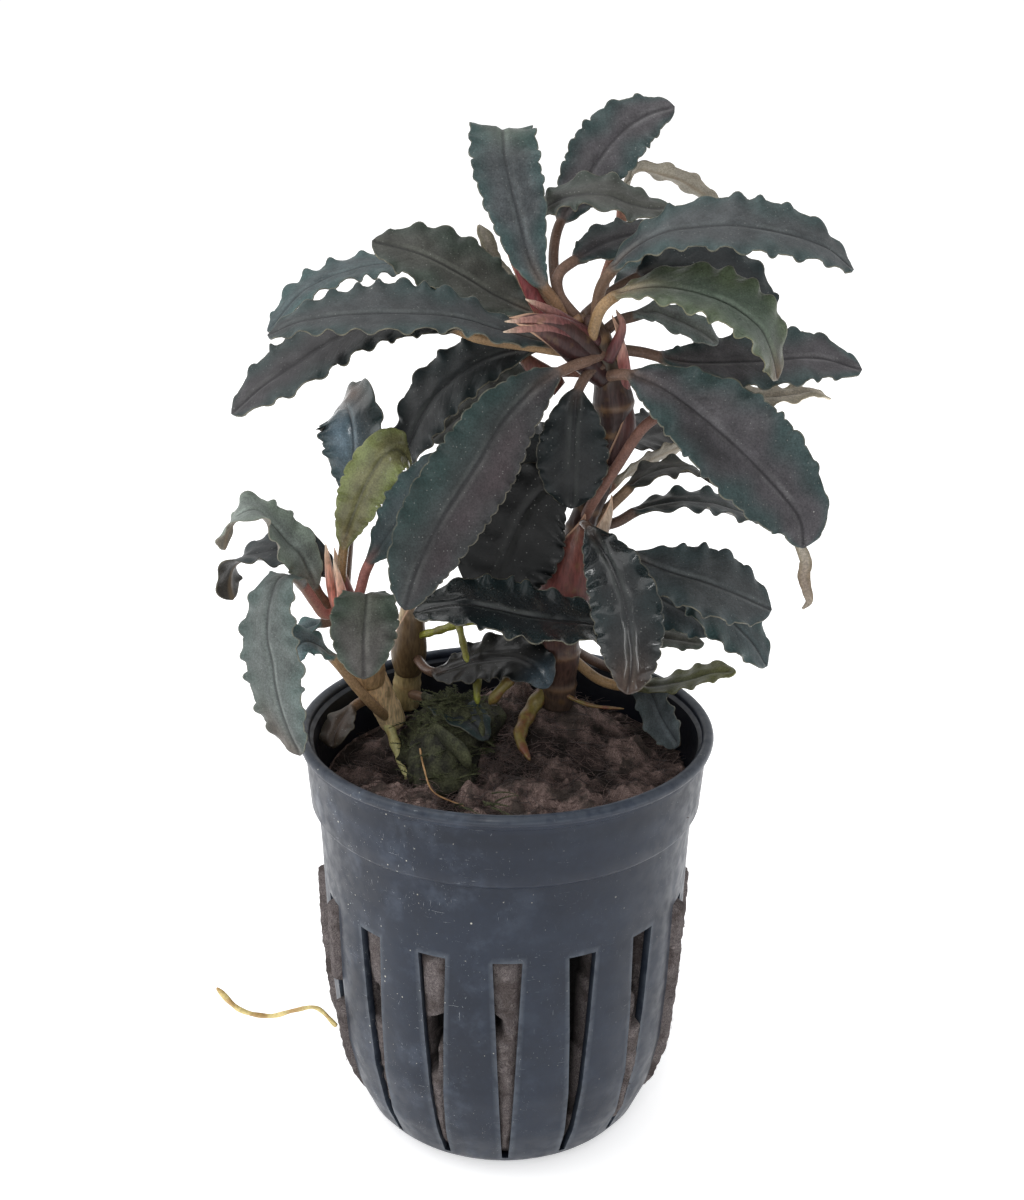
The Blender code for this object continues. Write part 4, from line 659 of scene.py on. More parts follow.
def leaf_material(name, look):
    """Satin leaf skin: midrib with a painted highlight beside it, a margin line that is partly a painted
    highlight, faint side veins, pale speckles and wet places.
    """
    tree = Tree(name, look.roughness, LEAF_SPECULAR)
    rim, off, along, top, wet, blade = map(tree.attribute, ("rim", "off", "along", "top", "wet", "blade"))
    colour = tree.varied(tree.paint(), tree.noise(3.0, detail=6.0, roughness=0.72), 0.76, 1.24)
    grain = tree.noise(0.22, detail=4.0, roughness=0.7)
    colour = tree.varied(colour, grain, 0.72, 1.3)
    # Side veins run forward from the midrib to the margin
    slope = tree.plus(along, tree.times(off, -VEIN_SLANT), tree.times(tree.noise(4.0), 1.6))
    vein = tree.math("POWER", tree.math("ABSOLUTE", tree.math("SINE", tree.times(slope, VEIN_PITCH))), 9.0)
    vein = tree.times(vein, blade, tree.between(off, 0.3, 0.9))
    colour = tree.brightened(colour, tree.between(vein, 0.0, 1.0, 1.0, 1.05))
    # Pale speckles and a few white dots
    far, value = tree.cells(SPECK_SPACING)
    colour = tree.marked(colour, "speck", tree.between(far, 0.2, 0.08), tree.between(value, 0.45, 0.75))
    far, value = tree.cells(DOT_SPACING)
    colour = tree.marked(colour, "dot", tree.between(far, 0.05, 0.025), tree.between(value, 0.88, 0.9))
    # Midrib: a dark line between two paler strips on the upper side, which are a painted highlight on the
    # banks of the groove, and a pale ridge below
    on_top = tree.times(top, blade)
    highlight_and_shade_band = tree.times(tree.between(off, 1.0, 0.4), tree.between(off, 0.12, 0.4), on_top,
                      tree.between(tree.noise(5.0), 0.35, 0.6))
    colour = tree.brightened(colour, tree.between(highlight_and_shade_band, 0.0, 1.0, 1.0, 1.5))
    colour = tree.marked(colour, "highlight_and_shade_band", highlight_and_shade_band)
    colour = tree.marked(colour, "midrib", tree.between(off, 0.24, 0.06), on_top)
    colour = tree.marked(colour, "ridge", tree.between(off, 0.7, 0.2), tree.between(top, 0.6, 0.4))
    # Margin: a thin pale line that comes and goes, partly the leaf's own pale rim and partly a painted
    # highlight where light catches the thin margin
    fading = tree.between(tree.noise(1.3), 0.36, 0.6, 0.25, 1.0)
    colour = tree.marked(colour, "margin", tree.between(rim, 0.2, 0.07), blade, fading)
    rough = tree.swing(tree.noise(1.4, detail=4.0), look.roughness - 0.06, look.roughness + 0.08)
    tree.put(tree.shader["Coat Weight"], tree.times(wet, WET_COAT))
    film = tree.times(wet, tree.between(tree.noise(2.6, distortion=0.6), 0.3, 0.44))
    rough = tree.add("ShaderNodeMix", {0: film, 2: rough, 3: WET_ROUGHNESS}, data_type="FLOAT").outputs[0]
    height = tree.plus(tree.times(grain, 0.3), tree.times(vein, -0.2), tree.times(tree.noise(0.9), 0.45))
    return tree.finish(colour, rough, height, depth=0.16, strength=0.55)


def stem_material():
    """Stems, sheaths and young leaves: painted along their length, with fine lengthwise streaks."""
    tree = Tree("stem_skin", 0.42, STEM_SPECULAR)
    streaks = tree.noise(0.5, detail=4.0, place=tree.stretched(tree.place, (1.6, 1.6, 0.3)))
    colour = tree.varied(tree.paint(), streaks, 0.66, 1.24)
    colour = tree.marked(colour, "stem_patch", tree.between(tree.noise(1.7), 0.55, 0.72, 0.0, 0.5))
    colour = tree.marked(colour, "sheath_edge", tree.between(tree.attribute("rim"), 0.3, 0.08))
    colour = tree.marked(colour, "stem_ring", tree.attribute("ring"))
    return tree.finish(colour, tree.swing(tree.noise(0.8), 0.3, 0.5), streaks, depth=0.14, strength=0.5)


def root_material(name, young, old):
    """Thin roots: painted, with soft streaks and a duller skin in places."""
    tree = Tree(name, 0.4, ROOT_SPECULAR)
    colour = tree.mix(tree.between(tree.noise(2.4, detail=4.0), 0.42, 0.62), srgb(*young), srgb(*old))
    colour = tree.varied(colour, tree.noise(0.35), 0.82, 1.14)
    return tree.finish(colour, None, tree.noise(0.3), depth=0.08, strength=0.5)


def moss_material():
    """Dull green moss, brown where it is old or deep, bright at its tips."""
    tree = Tree("moss_leaves", 0.75, MOSS_SPECULAR)
    young, old, tip = (srgb(*own) for own in MOSS_COLOURS)
    colour = tree.mix(tree.between(tree.noise(2.2, detail=5.0), 0.35, 0.62), old, young)
    colour = tree.mix(tree.attribute("tip"), colour, tip)
    colour = tree.varied(colour, tree.noise(0.25), 0.6, 1.3)
    return tree.finish(colour, None, tree.noise(0.3, detail=5.0), depth=0.3, strength=0.8)


def wool_material():
    """Wet rock wool: matted brown fibres, painted shade in its dips and in the voids behind the slots, and a
    redder top full of fine roots whose colours are painted paler as painted light.
    """
    tree = Tree("wool_fibre", 0.92, WOOL_SPECULAR)
    swirl = tree.add("ShaderNodeTexNoise", {"Vector": tree.place, "Scale": 0.45, "Detail": 2.0})
    warped = tree.add("ShaderNodeVectorMath",
                      {0: swirl.outputs["Color"], 1: (WOOL_SWIRL,) * 3, 2: tree.place},
                      operation="MULTIPLY_ADD").outputs[0]
    fibres = tree.noise(0.42, detail=6.0, roughness=0.75, place=tree.stretched(warped, (2.6, 2.6, 0.6)))
    threads = tree.noise(0.3, detail=4.0, roughness=0.7, place=tree.stretched(warped, (0.7, 0.7, 3.0)))
    light = tree.between(fibres, 0.36, 0.68)
    colour, top = (tree.mix(light, srgb(*dark), srgb(*pale)) for dark, pale in (WOOL_SIDE, WOOL_MAT))
    colour = tree.marked(colour, "thread", tree.between(threads, 0.56, 0.72, 0.0, 0.7))
    colour = tree.marked(colour, "wool_stain",
                         tree.between(tree.noise(2.6, detail=4.0), 0.42, 0.66, 0.0, 0.6))
    top = tree.marked(top, "mat_stain", tree.between(tree.noise(3.4), 0.48, 0.62, 0.0, 0.75))
    # The top takes the mat colours, which carry painted light
    colour = tree.mix(tree.attribute("top"), colour, top)
    # Painted shade in the dips of the top and in the voids behind the slots
    colour = tree.marked(colour, "hollow_shade", tree.attribute("deep"))
    return tree.finish(colour, None, tree.plus(fibres, tree.times(threads, 0.6)), depth=0.5, strength=0.9)


def pot_material():
    """Dark blue-grey moulded plastic, scuffed and scratched, with dust and mineral specks, painted shade
    inside and under the lip, and a painted highlight along the slots and the rim.
    """
    tree = Tree("pot_plastic_worn", 0.4, POT_SPECULAR)
    across, deep, height = tree.add("ShaderNodeSeparateXYZ", {0: tree.place}).outputs
    colour = tree.mix(tree.between(tree.noise(9.0, detail=4.0), 0.35, 0.65), *(srgb(*own) for own in PLASTIC))
    colour = tree.varied(colour, tree.noise(0.8, detail=5.0), 0.93, 1.07)
    # Painted shade: the strip just under the lip, which the lip overhangs, is darker
    highlight_and_shade_band = tree.times(tree.between(height, 51.9, 51.2), tree.between(height, 48.6, 50.4))
    colour = tree.brightened(colour, tree.between(highlight_and_shade_band, 0.0, 1.0, 1.0, 0.8))
    # Scuffs lie mostly on the front, to the left
    worn = tree.times(tree.between(across, 7.0, -9.0, 0.25, 1.0), tree.between(deep, 4.0, -12.0, 0.4, 1.0))
    cloud = tree.between(tree.noise(4.5, detail=5.0, roughness=0.65), 0.5, 0.74)
    colour = tree.marked(colour, "scuff", cloud, worn)
    lines = None
    for size, stretch in SCRATCHES:
        fine = tree.noise(size, detail=2.0, distortion=0.9, place=tree.stretched(tree.place, stretch))
        fine = tree.between(fine, 0.70, 0.76)
        lines = fine if lines is None else tree.math("MAXIMUM", lines, fine)
    lines = tree.times(lines, worn, tree.between(tree.noise(3.0), 0.44, 0.58))
    colour = tree.marked(colour, "scratch", lines)
    specks = None
    for size, reach, least in POT_SPECKS:
        far, value = tree.cells(size)
        dots = tree.times(tree.between(far, reach, reach / 2), tree.between(value, least, least + 0.05))
        specks = dots if specks is None else tree.math("MAXIMUM", specks, dots)
    colour = tree.marked(colour, "pot_speck", specks, worn, tree.between(tree.noise(6.0), 0.4, 0.6))
    # Along the slots and the rim: partly worn plastic and partly a painted highlight on their rounded corners
    colour = tree.marked(colour, "wear_and_highlight", tree.attribute("edge"),
                         tree.between(tree.noise(1.2), 0.3, 0.6, 0.3, 1.0))
    # Painted shade: the inner wall is darkened for the shade inside the pot
    colour = tree.marked(colour, "pot_inside_shade", tree.attribute("inside"))
    relief = tree.plus(tree.times(tree.noise(2.2), 0.6), tree.times(lines, -0.5))
    return tree.finish(colour, tree.swing(tree.noise(1.6, detail=5.0), 0.3, 0.48), relief,
                       depth=0.12, strength=0.35)


def grid_faces(rows, columns, around=False):
    """Quads between the points of a grid, row after row. Around joins its last column to its first."""
    row, column = np.meshgrid(np.arange(rows - 1), np.arange(columns if around else columns - 1),
                              indexing="ij")
    here, beside = row * columns + column, row * columns + (column + 1) % columns
    return np.stack([here, beside, beside + columns, here + columns], -1).reshape(-1, 4)


def end_caps(count, columns):
    """Triangles that close the first and the last ring of count points, to the two points after them."""
    ring = np.arange(columns)
    fan = np.stack([ring, np.roll(ring, -1), np.full(columns, count)], 1)
    return np.concatenate([fan[:, ::-1], fan + (count - columns, count - columns, 1)])


def skin_faces(rows, columns):
    """Faces of two grids of points, one after the other, and of the strips that join their borders."""
    count, outside = rows * columns, grid_faces(rows, columns)
    first, column = np.arange(rows - 1) * columns, np.arange(columns - 1)
    last = first + columns - 1
    low = np.stack([first, first + columns, first + columns + count, first + count], 1)
    high = np.stack([last + columns, last, last + count, last + columns + count], 1)
    foot = np.stack([column + 1, column, column + count, column + 1 + count], 1)
    return [outside, (outside + count)[:, ::-1], low, high, foot, foot[:, ::-1] + (rows - 1) * columns]


def add_piece(name, points, groups, look, node, numbers=(), paint=None):
    """A piece that stands for a node. Its points are in millimetres, and each of its groups of faces
    has faces of one length. Numbers are named values of its points."""
    mesh = bpy.data.meshes.new(name)
    corners = np.concatenate([np.asarray(group).ravel() for group in groups])
    sizes = np.concatenate([np.full(len(group), np.asarray(group).shape[1]) for group in groups])
    mesh.vertices.add(len(points))
    mesh.vertices.foreach_set("co", (np.asarray(points) * MM).ravel())
    mesh.loops.add(len(corners))
    mesh.loops.foreach_set("vertex_index", corners.astype(np.int32))
    mesh.polygons.add(len(sizes))
    starts = np.concatenate(([0], np.cumsum(sizes)[:-1]))
    mesh.polygons.foreach_set("loop_start", starts.astype(np.int32))
    mesh.update(calc_edges=True)
    mesh.validate()
    mesh.shade_smooth()
    for key, values in dict(numbers).items():
        layer = mesh.attributes.new(key, "FLOAT", "POINT")
        layer.data.foreach_set("value", np.asarray(values, dtype=np.float32).ravel())
    if paint is not None:
        layer = mesh.attributes.new("paint", "FLOAT_COLOR", "POINT")
        layer.data.foreach_set("color", np.asarray(paint, dtype=np.float32).ravel())
    mesh.materials.append(look)
    piece = bpy.data.objects.new(name, mesh)
    bpy.context.collection.objects.link(piece)
    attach(piece, "root")
    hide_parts(node)
    return piece


def joined(parts):
    """One set of points, faces, values and colours from several parts, each made of all four.
    Parts without colours have None there."""
    points, groups, numbers, paint, count = [], [], {}, [], 0
    for part_points, part_groups, part_numbers, part_paint in parts:
        points.append(part_points)
        groups += [np.asarray(group) + count for group in part_groups]
        for key, values in part_numbers.items():
            numbers.setdefault(key, []).append(np.broadcast_to(values, len(part_points)))
        if part_paint is not None:
            paint.append(part_paint)
        count += len(part_points)
    numbers = {key: np.concatenate(values) for key, values in numbers.items()}
    return np.concatenate(points), groups, numbers, np.concatenate(paint) if paint else None


def view_turn(size):
    """How the camera is turned, as a matrix with size rows."""
    turn = Matrix.Rotation(math.radians(-VIEW_TURN), size, "Z")
    turn = turn @ Matrix.Rotation(math.radians(90 - VIEW_DOWN), size, "X")
    return turn @ Matrix.Rotation(math.radians(VIEW_ROLL), size, "Z")


def spot(right, up, depth):
    """The place, in millimetres, that is seen at (right, up) and lies at the depth Y."""
    sight = view_turn(3) @ Vector((right, up, -VIEW_REACH))
    return VIEW_FROM + sight * ((depth - VIEW_FROM.y) / sight.y)


def smooth_path(corners, step):
    """Points about a step apart, evenly spaced along a smooth curve through the corners."""
    corners = [Vector(corner) for corner in corners]
    ends = [2 * corners[0] - corners[1], *corners, 2 * corners[-1] - corners[-2]]
    fine = []
    for a, b, c, d in zip(ends, ends[1:], ends[2:], ends[3:]):
        for t in (k / CURVE_PARTS for k in range(CURVE_PARTS)):
            fine.append(0.5 * (2 * b + (c - a) * t + (2 * a - 5 * b + 4 * c - d) * t**2
                               + (3 * b - a - 3 * c + d) * t**3))
    fine = np.array([*fine, corners[-1]])
    along = np.concatenate(([0], np.cumsum(np.linalg.norm(np.diff(fine, axis=0), axis=1))))
    places = np.linspace(0, along[-1], max(4, round(along[-1] / step)) + 1)
    return np.stack([np.interp(places, along, fine[:, i]) for i in range(3)], 1)


def spot_path(spots, step):
    """Points about a step apart along a smooth curve through the spots."""
    return smooth_path([spot(*s) for s in spots], step)


def directions_of(path):
    """The direction of a path at each of its points."""
    steps = np.gradient(path, axis=0)
    return steps / np.linalg.norm(steps, axis=1, keepdims=True)


def carried_normals(directions, first):
    """Normals along a path that start near first and turn no more than the path itself."""
    normals = [np.array(first) - np.dot(first, directions[0]) * directions[0]]
    for before, after in zip(directions, directions[1:]):
        turned = Vector(before).rotation_difference(Vector(after)) @ Vector(normals[-1])
        normals.append(np.array(turned) - np.dot(turned, after) * after)
    normals = np.array(normals)
    return normals / np.linalg.norm(normals, axis=1, keepdims=True)


def axes_along(path, first):
    """Normals along a path that start near first, and the directions across the path and them."""
    directions = directions_of(path)
    normals = carried_normals(directions, first)
    return normals, np.cross(directions, normals)


def leaf_normals(path, directions, share, leaf):
    """Normals of a leaf's upper side, turned so that the blade's middle faces as the leaf says."""
    normals = carried_normals(directions, (0.2, -1.0, 0.4))
    middle = int(np.argmin(np.abs(share - BLADE_MIDDLE)))
    direction = directions[middle]
    facing = np.array(VIEW_FROM) - path[middle]
    facing -= facing.dot(direction) * direction
    now = normals[middle]
    offset = math.atan2(np.cross(now, facing).dot(direction), now.dot(facing))
    angles = (offset + np.radians(leaf.turn + leaf.twist * (share - 0.5)))[:, None]
    return normals * np.cos(angles) + np.cross(directions, normals) * np.sin(angles)


def rooted(spots):
    """The places of a stalk, from inside the stem that it grows from if that is near."""
    places = [spot(*s) for s in spots]
    axes = np.concatenate([line for line, _ in STEM_LINES])
    near = axes[np.argmin(np.linalg.norm(axes - np.array(places[0]), axis=1))]
    gap = Vector(near) - places[0]
    return [places[0] + gap * STALK_SINK, *places] if STALK_REACH[0] < gap.length < STALK_REACH[1] else places


def clear_start(path):
    """The first point of the path that is clear of every stem."""
    gaps = [np.linalg.norm(path[:, None] - line[None], axis=2).min(axis=1) - radius
            for line, radius in STEM_LINES]
    clear = np.nonzero(np.min(gaps, axis=0) > STEM_CLEARANCE)[0]
    return int(clear[0]) if len(clear) else len(path) - 4


def margin_waves(places, length, random):
    """How far a margin rises and how far it draws in, at places along the blade."""
    knots = [-random.uniform(0, LOBE_LONGEST)]
    while knots[-1] < length:
        knots.append(knots[-1] + random.uniform(LOBE_SHORTEST, LOBE_LONGEST))
    knots = np.array(knots)
    lobe = np.clip(np.searchsorted(knots, places, side="right") - 1, 0, len(knots) - 2)
    phase = np.clip((places - knots[lobe]) / (knots[lobe + 1] - knots[lobe]), 0, 1)
    rise = random.uniform(*LOBE_RISES, len(knots))[lobe] * (-1.0) ** lobe
    drawn = random.uniform(*LOBE_NOTCHES, len(knots))[lobe]
    return rise * np.sin(np.pi * phase), drawn * np.abs(2 * phase - 1) ** 3


def leaf_paint(look, touch, share, across, half, length, under, random):
    """The colour of every point of one side of a leaf."""
    middle, edge, stalk = (np.array(srgb(*(own or usual))) for own, usual in (
        (touch.middle, look.middle), (touch.edge, look.edge), (touch.stalk, look.stalk)))
    if under:
        middle = edge = np.array(srgb(*look.under))
    shift = random.uniform(0, 6)
    wave = sum(high * np.sin(share * length / long + at)
               for high, long, at in ((0.16, 2.1, shift), (0.1, 0.9, 0)))
    to_edge = smooth(np.abs(across) + wave, *EDGE_BAND)[..., None]
    paint = (middle * (1 - to_edge) + edge * to_edge) * touch.bright * LEAF_BRIGHT
    for colour, at, place, long, wide, strength in touch.patches:
        reach = ((share - at) * length / long) ** 2 + ((across - place) * half / wide) ** 2
        weight = strength * np.exp(-reach)[..., None]
        paint = paint * (1 - weight) + np.array(srgb(*colour)) * weight
    rib = np.exp(-(np.abs(across) * half / RIB_TINT_WIDTH) ** 2) * (1 - smooth(share, 0.0, RIB_TINT_END))
    foot = np.maximum(1 - smooth(share, 0.0, FOOT_END), RIB_TINT * rib)[..., None]
    paint = paint * (1 - foot) + stalk * foot
    paint[..., 3] = 1.0
    return paint


def leaf_piece(leaf, number):
    """A leaf with its stalk: two skins that meet in lobed, waving margins, and a sunken midrib."""
    random = np.random.default_rng(number + LEAF_SEED)
    look, touch = LOOKS[leaf.colour], TOUCHES.get(leaf.name, Touch())
    path = smooth_path(rooted(leaf.spine), LEAF_STEP)
    directions = directions_of(path)
    lengths = np.concatenate(([0], np.cumsum(np.linalg.norm(np.diff(path, axis=0), axis=1))))
    start = clear_start(path)
    clear = np.clip((lengths - lengths[start]) / (lengths[-1] - lengths[start]), 0, 1)
    share = np.clip((clear - leaf.stalk) / (1 - leaf.stalk), 0, 1)
    length = (lengths[-1] - lengths[start]) * (1 - leaf.stalk)
    normals = leaf_normals(path, directions, share, leaf)
    sides = np.cross(directions, normals)
    blade = leaf.width / 2 * np.sin(np.pi * share**BLADE_SKEW).clip(0) ** BLADE_BLUNT
    opening = (blade / (leaf.width / 2))[:, None]
    stalk = STALK_THICKNESS / 2 * (1 - STALK_TAPER * smooth(share, *STALK_END))
    half = np.maximum(stalk, blade)[:, None]
    even = np.linspace(-1, 1, LEAF_COLUMNS)
    across = (even - CROWDING * np.sin(2 * np.pi * even))[None, :]
    outward = np.abs(across)
    size = opening * min(1.0, leaf.width / RUFFLED_WIDTH)
    places = share * length
    ruffle = smooth(1 - (1 - outward) * half / RUFFLE_REACH, 0.0, 1.0) * outward
    rise, drawn = np.zeros((len(path), LEAF_COLUMNS)), np.zeros((len(path), LEAF_COLUMNS))
    for side in (across[0] < 0, across[0] >= 0):
        up, inward = margin_waves(places, length, random)
        roll, swell = random.uniform(0, 6.3, 2)
        low = SWAY * np.sin(places / random.uniform(*SWAY_LENGTHS) + roll)
        puff = PUFF * np.sin(places / random.uniform(*PUFF_LENGTHS) + swell)
        rise[:, side] = (up[:, None] * ruffle + low[:, None] * outward
                         + puff[:, None] * np.sin(np.pi * outward))[:, side] * size
        drawn[:, side] = (inward[:, None] * ruffle)[:, side] * size
    keel = math.radians(leaf.keel)
    reach = across * (half - drawn)
    lift = half * math.sin(keel) * opening * outward**1.3 + rise
    flat = BLADE_THICKNESS / 2 * (1 - outward**3) + MARGIN_THICKNESS / 2 * outward**3
    full = stalk[:, None] * np.sqrt(np.clip(1 - outward**2, 0, 1)) + MARGIN_THICKNESS / 2
    spread = smooth(blade / (STALK_THICKNESS / 2), *SPREADING)[:, None]
    thick = full * (1 - spread) + flat * spread
    off = np.abs(reach)
    groove = RIB_GROOVE * np.exp(-(off / RIB_WIDTH) ** 2)
    groove = (groove - BANK_HEIGHT * np.exp(-((off - BANK_PLACE) / BANK_WIDTH) ** 2)) * spread
    ridge = RIB_RIDGE * np.exp(-(off / RIDGE_WIDTH) ** 2) * spread * (1 - RIDGE_TAPER * share[:, None])
    flatways = math.cos(keel) * opening + (1 - opening)
    base = path[:, None] + sides[:, None] * (reach * flatways)[..., None]
    upper = base + normals[:, None] * (lift + thick - groove)[..., None]
    lower = base + normals[:, None] * (lift - thick - ridge)[..., None]
    points = np.concatenate([upper.reshape(-1, 3), lower.reshape(-1, 3)])
    grid = {"rim": (1 - outward) * half, "off": off, "along": places[:, None],
            "blade": spread * min(1.0, leaf.width / BOLD_WIDTH) * touch.ribs}
    numbers = {key: np.tile(np.broadcast_to(values, off.shape).ravel(), 2) for key, values in grid.items()}
    numbers.update(top=np.repeat((1.0, 0.0), off.size), wet=np.full(2 * off.size, touch.wet))
    shares = np.broadcast_to(share[:, None], off.shape)
    paint = [leaf_paint(look, touch, shares, across, half, length, under, random).reshape(-1, 4)
             for under in (False, True)]
    add_piece(f"{leaf.name}_skin", points, skin_faces(len(path), LEAF_COLUMNS), LEAF_SKINS[leaf.colour],
              leaf.name, numbers, np.concatenate(paint))


def tube_part(path, radii, sides, paint=None, flat=1.0, first=(0.3, 1.0, 0.2), **numbers):
    """A closed round solid along a path. Each of the path's points has a radius, and may have a
    colour and further numbers."""
    normals, across = axes_along(path, first)
    turns = np.linspace(0, 2 * np.pi, sides, endpoint=False)
    rays = np.cos(turns)[:, None] * normals[:, None] + flat * np.sin(turns)[:, None] * across[:, None]
    points = (path[:, None] + rays * np.asarray(radii)[:, None, None]).reshape(-1, 3)
    groups = [grid_faces(len(path), sides, around=True), end_caps(len(points), sides)]

    def spread(values):
        return np.concatenate([np.repeat(values, sides, axis=0), values[:1], values[-1:]])

    numbers = {key: spread(np.broadcast_to(values, len(path))) for key, values in numbers.items()}
    return (np.concatenate([points, path[:1], path[-1:]]), groups, numbers,
            None if paint is None else spread(paint))


def sheath_part(spots, radius, wrap, facing, colours):
    """A pointed sheath: a thin half tube that narrows to a tip, open away from facing."""
    path = spot_path(spots, SMALL_STEP)
    normals, across = axes_along(path, facing)
    share = np.linspace(0, 1, len(path))
    radii = radius * (0.8 + 0.35 * np.sin(np.pi * share**0.8)) * (1 - share**3.5) + 0.1
    angles = np.radians(wrap) * (1 - 0.8 * share**2.2)
    even = np.linspace(-1, 1, SHEATH_COLUMNS)
    turns = (angles[:, None] * even)[..., None]
    wave = 0.12 * np.sin(9 * share)[:, None] * even**2
    rays = np.cos(turns) * normals[:, None] + np.sin(turns) * across[:, None]
    skins = [path[:, None] + (np.maximum(radii - depth, 0.03)[:, None] + wave)[..., None] * rays
             for depth in (0.0, SHEATH_THICKNESS)]
    rim = (1 - np.abs(even)) * (angles * radii)[:, None]
    rim = np.minimum(rim, ((1 - share) * len(path) * SMALL_STEP)[:, None] + 0.05).ravel()
    paint = np.repeat(gradient(colours, share), SHEATH_COLUMNS, axis=0)
    return (np.concatenate([skin.reshape(-1, 3) for skin in skins]), skin_faces(len(path), SHEATH_COLUMNS),
            {"ring": 0.0, "rim": np.tile(rim, 2)}, np.concatenate([paint, paint * 0.9]))


def gradient(stops, share):
    """Colours along something, blended between (share, colour) stops."""
    places = [stop[0] for stop in stops]
    colours = np.array([srgb(*stop[1]) for stop in stops])
    return np.stack([np.interp(share, places, colours[:, i]) for i in range(4)], -1)


def stem_piece(stem, number):
    """A stem with rings where old leaves stood, and the pointed young leaves of its crown."""
    random = np.random.default_rng(number + STEM_SEED)
    path = spot_path(stem.spine, STEM_STEP)
    share = np.linspace(0, 1, len(path))
    radii = np.interp(share * (len(stem.radii) - 1), range(len(stem.radii)), stem.radii)
    lengths = share * len(path) * STEM_STEP
    ring = np.zeros(len(path))
    for place in np.arange(RING_START, lengths[-1] - 2, STEM_RING):
        place += random.uniform(-RING_SHIFT, RING_SHIFT)
        ring = np.maximum(ring, np.exp(-((lengths - place) / RING_WIDTH) ** 2))
    radii = radii * (1 + STEM_WAVE * np.sin(lengths / 0.9)) + RING_HEIGHT * ring
    radii[-len(STEM_TIP):] *= STEM_TIP
    parts = [tube_part(path, radii, 22, gradient(STEM_PAINTS[stem.name], share), ring=ring, rim=1.0)]
    for spear in stem.spears:
        line = spot_path(spear, SMALL_STEP)
        along = np.linspace(0, 1, len(line))
        size = np.interp(along, *SPEAR_RADII)
        parts.append(tube_part(line, size, 12, gradient(SPEAR_PAINTS[stem.name], along), flat=0.75,
                               ring=0.0, rim=1.0))
    parts += [sheath_part(*row) for name, *row in SHEATHS if name == stem.name]
    points, groups, numbers, paint = joined(parts)
    add_piece(f"{stem.name}_skin", points, groups, STEM_SKIN, stem.name, numbers, paint)


def slot_half_angle(height, radius):
    """Half the angle that a slot takes up at a height of the body."""
    share = min(1.0, max(0.0, (height - SLOT_FOOT) / (SLOT_HEAD - SLOT_FOOT)))
    return (SLOT_FOOT_WIDTH + (SLOT_WIDTH - SLOT_FOOT_WIDTH) * share) / 2 / radius


def around(radius, angle, height):
    """Places at angles from the pot's front, counter-clockwise as seen from above."""
    up = np.broadcast_to(height, np.shape(angle))
    return np.stack([radius * np.sin(angle), -radius * np.cos(angle), up], -1)


def pot_angles(height, radius):
    """The angles of the pot's columns at a height, how far across a slot or a rib each one is,
    and whether it lies in a slot."""
    half, pitch = slot_half_angle(height, radius), 2 * math.pi / SLOTS
    in_slot = np.linspace(-1, 1, SLOT_COLUMNS + 1)[:-1]
    in_rib = np.linspace(0, 1, RIB_COLUMNS + 1)[:-1]
    steps = np.concatenate([in_slot * half, half + in_rib * (pitch - 2 * half)])
    middles = np.arange(SLOTS) * pitch + math.radians(SLOT_PHASE)
    return (middles[:, None] + steps[None]).ravel()


